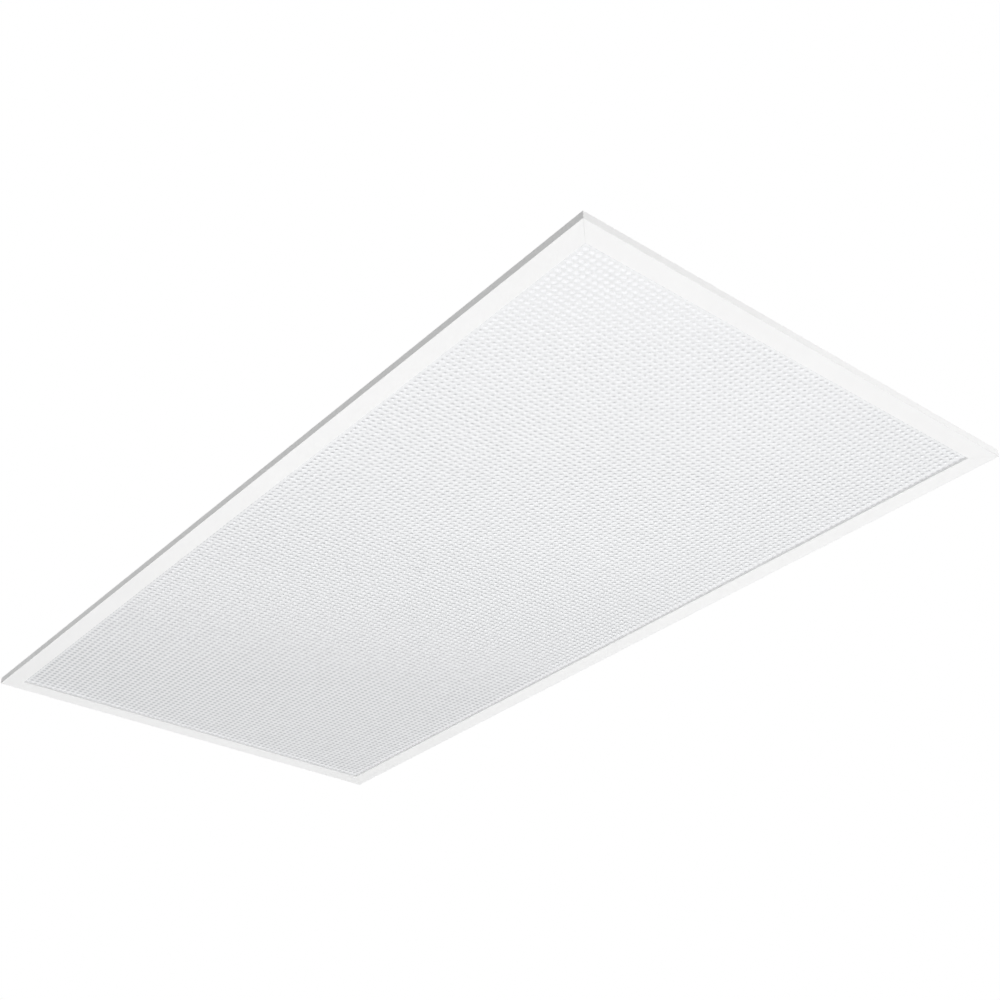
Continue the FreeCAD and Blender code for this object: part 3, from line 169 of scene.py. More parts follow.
class Shader:
    """Builds the node tree of one material, world or floor."""

    def __init__(self, tree: bpy.types.NodeTree) -> None:
        """Empties the tree."""
        self.tree = tree
        tree.nodes.clear()

    def add(
        self,
        kind: str,
        settings: dict[str, Any] | None = None,
        sockets: dict[str | int, Any] | None = None,
    ) -> bpy.types.Node:
        """Adds a node.

        Args:
            kind: Blender's type name of the node.
            settings: Values of the node's own properties, which are set first.
            sockets: A number, colour or wire for each input, by name or index.

        Returns:
            The node.
        """
        made = self.tree.nodes.new(kind)
        for name, value in (settings or {}).items():
            setattr(made, name, value)
        for name, value in (sockets or {}).items():
            if isinstance(value, Wire):
                self.tree.links.new(value.socket, made.inputs[name])
            else:
                made.inputs[name].default_value = value
        return made

    def node(
        self,
        kind: str,
        settings: dict[str, Any] | None = None,
        sockets: dict[str | int, Any] | None = None,
        output: str | int = 0,
    ) -> Wire:
        """Adds a node for one of its outputs.

        Args:
            kind: Blender's type name of the node.
            settings: Values of the node's own properties.
            sockets: A number, colour or wire for each input, by name or index.
            output: The output that is wanted, by name or index.

        Returns:
            The wanted output.
        """
        return Wire(self, self.add(kind, settings, sockets).outputs[output])

    def place(self) -> Wire:
        """A point of the surface in the frame of the CAD, at rest."""
        return self.node("ShaderNodeTexCoord", output="Object")

    def axes(self, point: Wire) -> tuple[Wire, Wire, Wire]:
        """The three values of a vector."""
        split = self.add("ShaderNodeSeparateXYZ", sockets={0: point})
        return tuple(Wire(self, out) for out in split.outputs)

    def scaled(self, point: Wire, factors: Point) -> Wire:
        """A vector with each axis multiplied."""
        return self.node(
            "ShaderNodeVectorMath", {"operation": "MULTIPLY"}, {0: point, 1: factors}
        )

    def noise(self, point: Wire, size: float, detail: float = 2.0, rough: float = 0.5) -> Wire:
        """Soft noise from 0 to 1 whose patches are about size across."""
        sockets = {"Vector": point, "Scale": 1.0 / size, "Detail": detail, "Roughness": rough}
        return self.node("ShaderNodeTexNoise", {}, sockets)

    def cells(self, point: Wire, size: float, feature: str = "F1", output: int = 0) -> Wire:
        """Distance, or with output 1 the colour, of cells about size across."""
        sockets = {"Vector": point, "Scale": 1.0 / size}
        return self.node("ShaderNodeTexVoronoi", {"feature": feature}, sockets, output)

    def blend(self, share: Wire | float, first: Wire | Colour, second: Wire | Colour) -> Wire:
        """Mixes two colours."""
        start, end = (v if isinstance(v, Wire) else (*v, 1.0) for v in (first, second))
        # A Mix node has one input of each name per data type: 6, 7 and output 2 are its colours
        return self.node("ShaderNodeMix", {"data_type": "RGBA"}, {0: share, 6: start, 7: end}, 2)

    def bump(self, height: Wire, depth: float) -> Wire:
        """Normal of a surface raised by height times depth."""
        return self.node("ShaderNodeBump", {}, {"Distance": depth, "Height": height})

    def shown(self) -> Wire:
        """1 for a ray that shows what lies behind: from the camera, a mirror or a clear piece.

        Returns:
            The wire, which is 0 for every other ray.
        """
        path = self.add("ShaderNodeLightPath").outputs
        rays = ("Is Camera Ray", "Is Glossy Ray", "Is Transmission Ray")
        camera, glossy, clear = (Wire(self, path[ray]) for ray in rays)
        return camera.largest(glossy).largest(clear)

    def surface(self, sockets: dict[str, Any]) -> None:
        """Ends a material in a Principled shader with these sockets."""
        body = self.node("ShaderNodeBsdfPrincipled", {}, sockets)
        self.add("ShaderNodeOutputMaterial", {}, {"Surface": body})


# Finishes


class Grain(Enum):
    """The fine relief that a surface has from how it was made."""

    ORANGE_PEEL = "sprayed powder that flowed out in the oven"
    ROLLED = "fine lines along the sheet's length"
    BRUSHED = "longer scratches along the length"
    SPANGLE = "crystals of hot-dip zinc"
    MOULDED = "fine sparked texture of a mould"
    CELLS = "skin of closed-cell foam"
    DRAWN = "faint rings of an extruded sleeve"


EVEN: Point = (1.0, 1.0, 1.0)
GRAIN_STRETCH: dict[Grain, Point] = {
    Grain.ROLLED: (0.04, 1.0, 1.0),
    Grain.BRUSHED: (0.015, 1.0, 1.0),
    Grain.DRAWN: (1.0, 0.2, 0.2),
}


@dataclass(frozen=True)
class Finish:
    """A finish: base colour, gloss, fine grain and slow changes over the surface."""

    colour: Colour
    roughness: float = 0.5
    grain: Grain = Grain.MOULDED
    grain_size: float = 0.8 * MM
    grain_depth: float = 0.02 * MM
    mottle: float = 0.05
    patch: float = 60 * MM
    metallic: float = 0.0
    coat: float = 0.0
    # Noise values over which a cloudy patch and a fine speck fade in
    cloud_band: Band = (0.35, 0.7)
    speck_band: Band = (0.62, 0.78)
    # A speck's size in grains, its darkness in mottles, and how much of it shows
    speck_grains: float = 3.0
    speck_mottles: float = 2.0
    speck_share: float = 0.5
    # Range of the roughness, and size of its patches against those of the colour
    gloss_range: float = 0.12
    gloss_patch: float = 0.6

    def make(self, name: str) -> bpy.types.Material:
        """Makes the material.

        Args:
            name: Name of the material slot that the finish is for.

        Returns:
            The material, with its whole node tree.
        """
        material = bpy.data.materials.new(name)
        material.use_nodes = True
        material.diffuse_color = (*self.colour, 1.0)
        shader = Shader(material.node_tree)
        point = shader.place()
        sockets = {
            "Metallic": self.metallic,
            "Coat Weight": self.coat,
            "Base Color": self.tint(shader, point),
            "Roughness": self.gloss(shader, point),
            "Normal": shader.bump(self.height(shader, point), self.grain_depth),
        }
        shader.surface(sockets | self.extras(shader, point))
        return material

    def shade_of(self, share: float) -> Colour:
        """The base colour, darker by share."""
        return tuple(c * (1.0 - share) for c in self.colour)

    def tint(self, shader: Shader, point: Wire) -> Wire:
        """Colour: the base with cloudy patches and fine specks.

        Args:
            shader: The tree in the making.
            point: A point of the surface, from the shader's place method.

        Returns:
            The wire of the colour.
        """
        cloud = shader.noise(point, self.patch, 3.0).smooth(*self.cloud_band)
        speck = shader.noise(point, self.speck_grains * self.grain_size, 1.0).smooth(*self.speck_band)
        base = shader.blend(cloud, self.colour, self.shade_of(self.mottle))
        dark = self.shade_of(self.speck_mottles * self.mottle)
        return shader.blend(speck * self.speck_share, base, dark)

    def gloss(self, shader: Shader, point: Wire) -> Wire:
        """Roughness, a little duller in patches that hands have touched."""
        worn = shader.noise(point, self.gloss_patch * self.patch)
        return self.roughness + self.gloss_range * (worn - 0.5)

    def height(self, shader: Shader, point: Wire) -> Wire:
        """Relief of the grain, from 0 to 1.

        Args:
            shader: The tree in the making.
            point: A point of the surface, from the shader's place method.

        Returns:
            The wire of the height.
        """
        if self.grain is Grain.SPANGLE:
            return shader.cells(point, self.grain_size, "SMOOTH_F1")
        if self.grain is Grain.CELLS:
            return 1.0 - shader.cells(point, self.grain_size)
        stretched = shader.scaled(point, GRAIN_STRETCH.get(self.grain, EVEN))
        return shader.noise(stretched, self.grain_size, 2.0)

    def extras(self, shader: Shader, point: Wire) -> dict[str, Any]:
        """Further sockets of the Principled shader."""
        return {}


@dataclass(frozen=True)
class Zinc(Finish):
    """Bare or plated metal, in crystals or grains that catch the light one by one."""

    gloss_range: float = 0.15
    crystal_mottles: float = 3.0
    bloom: Colour = (0.82, 0.83, 0.84)
    bloom_band: Band = (0.55, 0.8)
    bloom_share: float = 0.35

    def tint(self, shader: Shader, point: Wire) -> Wire:
        """Colour: each crystal a slightly different grey, with white bloom in patches.

        Args:
            shader: The tree in the making.
            point: A point of the surface, from the shader's place method.

        Returns:
            The wire of the colour.
        """
        crystal = shader.axes(shader.cells(point, self.grain_size, output=1))[0]
        dark = self.shade_of(self.crystal_mottles * self.mottle)
        metal = shader.blend(crystal, self.colour, dark)
        bloom = shader.noise(point, self.patch, 4.0, 0.6).smooth(*self.bloom_band)
        return shader.blend(bloom * self.bloom_share, metal, self.bloom)

    def gloss(self, shader: Shader, point: Wire) -> Wire:
        """Roughness that differs from crystal to crystal."""
        crystal = shader.axes(shader.cells(point, self.grain_size, output=1))[1]
        return self.roughness + self.gloss_range * (crystal - 0.5)


@dataclass(frozen=True)
class Lattice(Finish):
    """Lens acrylic: the clear skin of every dimple mirrors more than the land between them, and every
    dimple has a dot of painted shade.
    """

    # Darker tone of the slow moulding change, and colour of the painted shade in every dimple
    dark: Colour = (0.71, 0.72, 0.74)
    # Radius of a dot of painted shade in pitches, and the shares of it between which the dot fades
    # out
    dot: float = 0.33
    dot_fade: Band = (0.4, 1.5)
    # Acrylic's own index is 1.49: this one is for the look, to make the dimples mirror strongly
    film_index: float = 3.2
    film_roughness: float = 0.12
    land_specular: float = 0.2

    def dimple(self, shader: Shader, point: Wire) -> Wire:
        """1 in the middle of every dimple, 0 on the land between them.

        Args:
            shader: The tree in the making.
            point: A point of the surface, from the shader's place method.

        Returns:
            The wire, which falls softly from 1 to 0 between them.
        """
        across = [(axis / DIMPLE_PITCH).fraction() - 0.5 for axis in shader.axes(point)[:2]]
        radius = (across[0] * across[0] + across[1] * across[1]) ** 0.5
        start, end = (share * self.dot for share in self.dot_fade)
        return 1.0 - radius.smooth(start, end)

    def tint(self, shader: Shader, point: Wire) -> Wire:
        """Colour: a dot of painted shade in every dimple and a slow change from the moulding.

        Args:
            shader: The tree in the making.
            point: A point of the surface, from the shader's place method.

        Returns:
            The wire of the colour.
        """
        cloud = shader.noise(point, self.patch, 1.0)
        clear = shader.blend(cloud * self.mottle, self.colour, self.dark)
        # Painted shade: every dimple darkens towards its middle
        return shader.blend(self.dimple(shader, point), clear, self.dark)

    def extras(self, shader: Shader, point: Wire) -> dict[str, Any]:
        """Further sockets: a glossy skin in the dimples and a nearly matt land."""
        return {
            "Specular IOR Level": self.land_specular,
            "Coat Weight": self.dimple(shader, point),
            "Coat IOR": self.film_index,
            "Coat Roughness": self.film_roughness,
        }


@dataclass(frozen=True)
class Circuit(Finish):
    """Lacquered circuit board: copper tracks show through the lacquer beside bare pads."""

    track: Colour = (0.3, 0.5, 0.2)
    pad: Colour = (0.75, 0.6, 0.35)
    pitch: float = 5 * MM
    # Half a track's width and the square of a pad's radius, in pitches
    track_half: float = 0.16
    pad_square: float = 0.02
    # Gaps in the tracks: how far they stretch along X, their size in pitches, their edge
    gap_stretch: Point = (0.3, 1.0, 1.0)
    gap_pitches: float = 2.0
    gap_band: Band = (0.44, 0.47)
    # Patches with pads: their size in pitches, their edge
    pad_pitches: float = 1.5
    pad_band: Band = (0.5, 0.53)

    def tint(self, shader: Shader, point: Wire) -> Wire:
        """Colour: tracks along X with gaps, and round pads on a grid.

        Args:
            shader: The tree in the making.
            point: A point of the surface, from the shader's place method.

        Returns:
            The wire of the colour.
        """
        along, across, up = shader.axes(point)
        lane = ((across + up) / self.pitch).fraction()
        gap = shader.noise(shader.scaled(point, self.gap_stretch), self.gap_pitches * self.pitch, 0.0)
        track = (abs(lane - 0.5) < self.track_half) * gap.smooth(*self.gap_band)
        cell = ((along / self.pitch).fraction() - 0.5, lane - 0.5)
        round_pad = (cell[0] * cell[0] + cell[1] * cell[1]) < self.pad_square
        some = shader.noise(point, self.pad_pitches * self.pitch, 0.0).smooth(*self.pad_band)
        tracks = shader.blend(track, super().tint(shader, point), self.track)
        return shader.blend(round_pad * some, tracks, self.pad)


@dataclass(frozen=True)
class Ribbed(Finish):
    """Flat ribbon of parallel cores, with a groove between each two."""

    core: float = 1.27 * MM
    # Distance from a core's middle, in cores, over which the colour and the relief change
    groove_band: Band = (0.3, 0.5)
    core_band: Band = (0.1, 0.5)
    # How far painted shade darkens the grooves, as a share of the colour
    groove_shade: float = 0.5

    def lane(self, shader: Shader, point: Wire) -> Wire:
        """Distance from the middle of the nearest core, from 0 to half a core."""
        return abs((shader.axes(point)[0] / self.core).fraction() - 0.5)

    def tint(self, shader: Shader, point: Wire) -> Wire:
        """Colour: painted shade that darkens the grooves between the cores."""
        groove = self.lane(shader, point).smooth(*self.groove_band)
        # Painted shade: the colour darkens towards each groove
        return shader.blend(groove, super().tint(shader, point), self.shade_of(self.groove_shade))

    def height(self, shader: Shader, point: Wire) -> Wire:
        """Relief: round cores with grooves between them."""
        return 1.0 - self.lane(shader, point).smooth(*self.core_band)


@dataclass(frozen=True)
class Clear(Finish):
    """Clear moulded plastic that light passes through."""

    index: float = 1.49

    def extras(self, shader: Shader, point: Wire) -> dict[str, Any]:
        """Further sockets: the light goes through."""
        return {"Transmission Weight": 1.0, "IOR": self.index}


def lead(colour: Colour, mottle: float, roughness: float = 0.36) -> Finish:
    """Drawn sleeve of a lead."""
    return Finish(colour, roughness, Grain.DRAWN, 1.2 * MM, 0.02 * MM, mottle, 9 * MM)


def lever(colour: Colour) -> Finish:
    """Moulded lever of the terminal block."""
    return Finish(colour, 0.36, Grain.MOULDED, 0.5 * MM, 0.02 * MM, 0.06, 5 * MM)


# Each row: colour, roughness, grain, its size and depth, mottle, patch size, metallic, coat
FINISHES: dict[str, Finish] = {
    "white_powder_coat": Finish(
        (0.88, 0.88, 0.878), 0.42, Grain.ORANGE_PEEL, 1.4 * MM, 0.006 * MM, 0.012, 180 * MM
    ),
    "white_painted_steel": Finish(
        (0.84, 0.845, 0.84), 0.5, Grain.ORANGE_PEEL, 1.8 * MM, 0.02 * MM, 0.03, 90 * MM
    ),
    "prismatic_acrylic": Lattice(
        (0.813, 0.818, 0.826), 0.25, Grain.MOULDED, 1.2 * MM, 0.002 * MM, 0.10, 300 * MM
    ),
    "opal_film": Finish((0.9, 0.9, 0.9), 0.6, Grain.MOULDED, 0.6 * MM, 0.01 * MM, 0.01),
    "white_foam": Finish((0.8, 0.8, 0.78), 0.9, Grain.CELLS, 0.7 * MM, 0.15 * MM, 0.08, 12 * MM),
    "zinc_plate": Zinc(
        (0.62, 0.64, 0.66), 0.36, Grain.SPANGLE, 7.0 * MM, 0.01 * MM, 0.07, 40 * MM, 1.0
    ),
    "screw_zinc": Zinc(
        (0.66, 0.66, 0.64), 0.3, Grain.SPANGLE, 1.1 * MM, 0.01 * MM, 0.06, 6 * MM, 1.0
    ),
    "rivet_steel": Zinc(
        (0.58, 0.59, 0.6), 0.34, Grain.SPANGLE, 1.4 * MM, 0.012 * MM, 0.06, 6 * MM, 1.0
    ),
    "reflector_white": Finish(
        (0.9, 0.9, 0.895), 0.65, Grain.ROLLED, 0.9 * MM, 0.01 * MM, 0.015, 120 * MM
    ),
    "circuit_white": Circuit(
        (0.86, 0.86, 0.84), 0.4, Grain.MOULDED, 0.7 * MM, 0.02 * MM, 0.03, 30 * MM,
        track=(0.72, 0.72, 0.70), pad=(0.8, 0.74, 0.6), pitch=4.5 * MM,
    ),
    "phosphor_yellow": Finish(
        (0.86, 0.66, 0.16), 0.55, Grain.CELLS, 0.25 * MM, 0.04 * MM, 0.12, 2 * MM
    ),
    "clear_optic": Clear((0.95, 0.96, 0.97), 0.08, Grain.MOULDED, 2.0 * MM, 0.01 * MM, 0.01),
    "lead_white": lead((0.8, 0.8, 0.78), 0.05, roughness=0.38),
    "lead_black": lead((0.02, 0.02, 0.022), 0.3),
    "lead_green": lead((0.03, 0.26, 0.07), 0.15),
    "lead_violet": lead((0.2, 0.06, 0.34), 0.15),
    "lead_pink": lead((0.75, 0.27, 0.38), 0.1),
    "lead_red": lead((0.5, 0.025, 0.02), 0.15),
    "black_rubber": Finish(
        (0.03, 0.03, 0.03), 0.75, Grain.MOULDED, 0.5 * MM, 0.03 * MM, 0.3, 8 * MM
    ),
    "driver_steel": Zinc(
        (0.7, 0.71, 0.72), 0.33, Grain.BRUSHED, 1.0 * MM, 0.015 * MM, 0.05, 30 * MM, 1.0
    ),
    "circuit_green": Circuit(
        (0.03, 0.2, 0.08), 0.3, Grain.MOULDED, 0.8 * MM, 0.02 * MM, 0.1, 20 * MM,
        track=(0.07, 0.34, 0.12), pitch=3.2 * MM,
    ),
    "terminal_grey": Finish(
        (0.5, 0.51, 0.52), 0.42, Grain.MOULDED, 0.5 * MM, 0.025 * MM, 0.06, 12 * MM
    ),
    "spring_steel": Zinc(
        (0.6, 0.6, 0.61), 0.25, Grain.BRUSHED, 0.6 * MM, 0.01 * MM, 0.05, 5 * MM, 1.0
    ),
    "lever_orange": lever((0.85, 0.24, 0.02)),
    "lever_green": lever((0.04, 0.36, 0.1)),
    "tinned_copper": Zinc(
        (0.72, 0.7, 0.66), 0.32, Grain.SPANGLE, 0.9 * MM, 0.01 * MM, 0.08, 4 * MM, 1.0
    ),
    "screw_green": Finish(
        (0.04, 0.27, 0.09), 0.3, Grain.ORANGE_PEEL, 0.6 * MM, 0.02 * MM, 0.12, 3 * MM, 0.3, 0.3
    ),
    "switch_black": Finish(
        (0.03, 0.03, 0.033), 0.45, Grain.MOULDED, 0.4 * MM, 0.02 * MM, 0.2, 6 * MM
    ),
    "slider_white": Finish(
        (0.82, 0.82, 0.8), 0.4, Grain.MOULDED, 0.4 * MM, 0.02 * MM, 0.05, 3 * MM
    ),
    "ribbon_grey": Ribbed(
        (0.5, 0.51, 0.53), 0.45, Grain.DRAWN, 0.8 * MM, 0.25 * MM, 0.05, 8 * MM
    ),
}


# Mesh tools


@dataclass
class Shell:
    """Points and faces of a mesh in the making."""

    points: list[Vector] = field(default_factory=list)
    faces: list[tuple[int, ...]] = field(default_factory=list)

    def ring(self, outline: Sequence[Vector]) -> list[int]:
        """Adds points and returns their numbers.

        Args:
            outline: The points, in order.

        Returns:
            The numbers of the points.
        """
        start = len(self.points)
        self.points.extend(outline)
        return list(range(start, len(self.points)))

    def bridge(self, first: Sequence[int], second: Sequence[int]) -> None:
        """Joins two rings of as many points by four-sided faces.

        Both rings run anticlockwise seen from above. The faces look outward where the second
        ring is the higher one and inward where it is the lower one. On level ground they look
        down where it is the wider one and up where it is the narrower one.

        Args:
            first: Numbers of one ring's points.
            second: Numbers of the other ring's points.
        """
        for i, start in enumerate(first):
            j = (i + 1) % len(first)
            self.faces.append((start, first[j], second[j], second[i]))

    def cap(self, ring: Sequence[int], upward: bool) -> None:
        """Closes a ring by one face."""
        self.faces.append(tuple(ring if upward else reversed(ring)))

    def fan(self, outer: Sequence[int], inner: Sequence[int]) -> None:
        """Fills the level ground between an outer ring and a hole inside it.

        Args:
            outer: Numbers of the outer ring's points.
            inner: Numbers of the hole's points.
        """
        loops = [[self.points[i] for i in outer], [self.points[i] for i in inner]]
        numbers = [*outer, *inner]
        for triangle in tessellate_polygon(loops):
            a, b, c = (self.points[numbers[i]] for i in triangle)
            turn = (b - a).cross(c - a).z
            corner = tuple(numbers[i] for i in triangle)
            self.faces.append(corner if turn > 0 else corner[::-1])

    def piece(self, name: str, smooth_angle: float = 30.0) -> bpy.types.Object:
        """Makes the object.

        Args:
            name: Name of the new piece.
            smooth_angle: Edges sharper than this angle, in degrees, stay sharp.

        Returns:
            The object, linked to the scene.
        """
        mesh = bpy.data.meshes.new(name)
        mesh.from_pydata([tuple(p) for p in self.points], [], self.faces)
        mesh.shade_smooth()
        mesh.set_sharp_from_angle(angle=math.radians(smooth_angle))
        made = bpy.data.objects.new(name, mesh)
        bpy.context.scene.collection.objects.link(made)
        return made


def above(point: Vector, height: float) -> Vector:
    """A point straight above another, or below it where the height is negative."""
    return point + Vector((0.0, 0.0, height))


def circle(centre: Vector, radius: float, sides: int) -> list[Vector]:
    """Points of a level circle, anticlockwise seen from above."""
    angles = (math.tau * i / sides for i in range(sides))
    return [centre + radius * Vector((math.cos(a), math.sin(a), 0.0)) for a in angles]


def cross(centre: Vector, reach: float, half_width: float) -> list[Vector]:
    """Outline of a level cross, anticlockwise seen from above.

    Args:
        centre: Middle of the cross.
        reach: Distance from the middle to an arm's end.
        half_width: Half an arm's width.

    Returns:
        Three points for each arm.
    """
    arm = [(reach, -half_width), (reach, half_width), (half_width, half_width)]
    points = []
    for quarter in range(4):
        rotation = Matrix.Rotation(quarter * math.pi / 2.0, 3, "Z")
        points += [centre + rotation @ Vector((x, y, 0.0)) for x, y in arm]
    return points


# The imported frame


@dataclass
class Packed:
    """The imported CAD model: its nodes, their slots, and the finishes made so far."""

    frame: dict[str, Any]
    materials: dict[str, bpy.types.Material] = field(default_factory=dict)
    # Corners nearer than this are one, and facets within this many degrees are one face
    same_point: float = 1e-6
    same_face: float = 0.5

    def slot_of(self, node: str) -> str:
        """The record's material slot of a node."""
        rows = self.frame["record"]["subparts"]
        return next(row["material_slot"] for row in rows if row["node"] == node)

    def body_of(self, node: str) -> str:
        """The body that a node rides on."""
        return self.frame["nodes"][node]["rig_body"]

    def material(self, slot: str) -> bpy.types.Material:
        """The finished material of a slot, made at its first use.

        Args:
            slot: Name of the record's material slot.

        Returns:
            The material.
        """
        if slot not in self.materials:
            self.materials[slot] = FINISHES[slot].make(slot)
        return self.materials[slot]

    def dress(self) -> None:
        """Gives every node the finish of its slot."""
        for node, piece in self.frame["nodes"].items():
            slot = self.slot_of(node)
            for holder in piece.material_slots:
                holder.material = self.material(slot)
            LOG.info("%s is finished as %s", node, slot)

    def solids(self, node: str) -> list[tuple[Vector, Vector]]:
        """Boxes of the separate solids in a node.

        Args:
            node: Name of the CAD node.

        Returns:
            The lowest and highest corner of each solid, in order of X and then Y.
        """
        work = bmesh.new()
        work.from_mesh(self.frame["nodes"][node].data)
        bmesh.ops.remove_doubles(work, verts=work.verts, dist=self.same_point)
        left, boxes = set(work.verts), []
        while left:
            group, waiting = set(), [left.pop()]
            while waiting:
                point = waiting.pop()
                group.add(point)
                near = {e.other_vert(point) for e in point.link_edges} & left
                left -= near
                waiting.extend(near)
            corners = np.array([p.co for p in group])
            boxes.append((Vector(corners.min(0)), Vector(corners.max(0))))
        work.free()
        return sorted(boxes, key=lambda box: tuple(round(c, 4) for c in box[0]))

    def clean_facets(self, node: str) -> bpy.types.Object:
        """Joins a node's split corners and clears the lines across its flat faces.

        Args:
            node: Name of the CAD node, whose mesh stays as it is under its modifiers.

        Returns:
            The node's object, ready for further modifiers.
        """
        piece = self.frame["nodes"][node]
        piece.modifiers.new("join", "WELD").merge_threshold = self.same_point
        merge = piece.modifiers.new("merge", "DECIMATE")
        merge.decimate_type = "DISSOLVE"
        merge.angle_limit = math.radians(self.same_face)
        return piece

    def stand_in(self, piece: bpy.types.Object, node: str) -> None:
        """Lets a new piece take a node's place, body and finish.

        Args:
            piece: The new piece.
            node: Name of the CAD node that it stands for.
        """
        slot = self.slot_of(node)
        piece.data.materials.append(self.material(slot))
        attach(piece, self.body_of(node))
        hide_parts(node)
        LOG.info("%s stands for %s with %d faces", piece.name, node, len(piece.data.polygons))


# Sub-assemblies


@dataclass
class Lens:
    """Moulded lens: a plate whose lower face is a lattice of shallow eight-sided dimples."""

    node: str = "prismatic_lens"
    columns: int = 152
    rows: int = 72
    pitch: float = DIMPLE_PITCH
    depth: float = 0.4 * MM
    air: float = 0.03 * MM
    edge: float = 0.3 * MM
    smooth_angle: float = 5.0

    def build(self, packed: Packed) -> None:
        """Builds the plate in the box of its node and puts it there.

        Args:
            packed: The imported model.
        """
        low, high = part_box(self.node)
        shell = self.lattice((low + high) / 2.0, low.z)
        self.border(shell, low, high)
        packed.stand_in(shell.piece("dimpled_lens", self.smooth_angle), self.node)

    def lattice(self, middle: Vector, level: float) -> Shell:
        """Builds the dimples.

        Args:
            middle: Middle of the plate.
            level: Height of the lower face.

        Returns:
            A shell whose first points are the corners of the lattice's cells, then the middles
            of their sides along X, then those of their sides along Y, each row by row.
        """
        half = self.pitch / 2.0
        start = (middle.x - self.columns * half, middle.y - self.rows * half)
        shell = Shell()

        def grid(columns: int, rows: int, dx: float, dy: float, up: float) -> np.ndarray:
            """Numbers of a grid of new points.

            Args:
                columns: Points along X.
                rows: Points along Y.
                dx: Step along X from the lattice's first corner.
                dy: Step along Y from there.
                up: Height over the lower face.

            Returns:
                The numbers, a row of points for each row of the array.
            """
            first = len(shell.points)
            shell.points.extend(
                Vector((start[0] + dx + i * self.pitch, start[1] + dy + j * self.pitch, level + up))
                for j in range(rows)
                for i in range(columns)
            )
            return np.arange(first, len(shell.points)).reshape(rows, columns)

        n, m, slant = self.columns, self.rows, half * math.sqrt(0.5)
        corner = grid(n + 1, m + 1, 0.0, 0.0, 0.0)
        south = grid(n, m + 1, half, 0.0, 0.0)
        west = grid(n + 1, m, 0.0, half, 0.0)
        ne, nw, sw, se = (
            grid(n, m, half + sx * slant, half + sy * slant, 0.0)
            for sx, sy in ((1, 1), (-1, 1), (-1, -1), (1, -1))
        )
        tip = grid(n, m, half, half, self.depth)
        # A dimple's eight points, anticlockwise from the east, each as a grid over all the cells
        around = [
            west[:, 1:], ne, south[1:, :], nw, west[:, :-1], sw, south[:-1, :], se,
        ]
        corners = {1: corner[1:, 1:], 3: corner[1:, :-1], 5: corner[:-1, :-1], 7: corner[:-1, 1:]}
        for k, ring in enumerate(around):
            after = around[(k + 1) % len(around)]
            shell.faces += self.faces(after, ring, tip)
            if k in corners:
                before = around[k - 1]
                shell.faces += self.faces(ring, before, corners[k])
                shell.faces += self.faces(after, ring, corners[k])
        return shell

    @staticmethod
    def faces(*grids: np.ndarray) -> list[tuple[int, ...]]:
        """Faces whose corners are the same places of several grids."""
        return [tuple(map(int, face)) for face in zip(*(g.ravel() for g in grids))]

    def rim(self) -> list[int]:
        """Numbers of the points round the lattice, anticlockwise seen from above.

        Returns:
            The numbers, from the corner of least X and Y.
        """
        n, m = self.columns, self.rows
        corner = np.arange((n + 1) * (m + 1)).reshape(m + 1, n + 1)
        south = corner.size + np.arange(n * (m + 1)).reshape(m + 1, n)
        west = corner.size + south.size + np.arange((n + 1) * m).reshape(m, n + 1)
        sides = (
            (corner[0, :], south[0, :]),
            (corner[:, -1], west[:, -1]),
            (corner[-1, ::-1], south[-1, ::-1]),
            (corner[::-1, 0], west[::-1, 0]),
        )
        return [int(k) for ends, middles in sides for pair in zip(ends[:-1], middles) for k in pair]

    def border(self, shell: Shell, low: Vector, high: Vector) -> None:
        """Adds the plain margin, the edges and the flat upper face.

        Args:
            shell: The lattice.
            low: Lowest corner of the plate.
            high: Highest corner of the plate.
        """
        rim = self.rim()
        line = np.array([shell.points[k] for k in rim])
        least, most = line.min(0), line.max(0)

        def outline(level: float, inset: float) -> list[int]:
            """The plate's outline at a height, with its points in step with the rim's.

            Args:
                level: Height of the outline.
                inset: How far it lies inside the plate's box.

            Returns:
                The numbers of its points.
            """
            pushed = line.copy()
            for axis in (0, 1):
                pushed[line[:, axis] == least[axis], axis] = low[axis] + inset
                pushed[line[:, axis] == most[axis], axis] = high[axis] - inset
            return shell.ring([Vector((x, y, level)) for x, y, _ in pushed])

        loops = [
            rim,
            outline(low.z, self.edge),
            outline(low.z + self.edge, 0.0),
            outline(high.z - self.air, 0.0),
        ]
        for inner, outer in zip(loops, loops[1:]):
            shell.bridge(inner, outer)
        shell.cap(loops[-1], upward=True)


class Head(Enum):
    """The head that a fastener has."""

    HEXAGON = "six flats on a round washer, with a dished top"
    CROSS = "low dome with a cross recess"
    DOME = "plain dome with the end of the pulled mandrel in its middle"


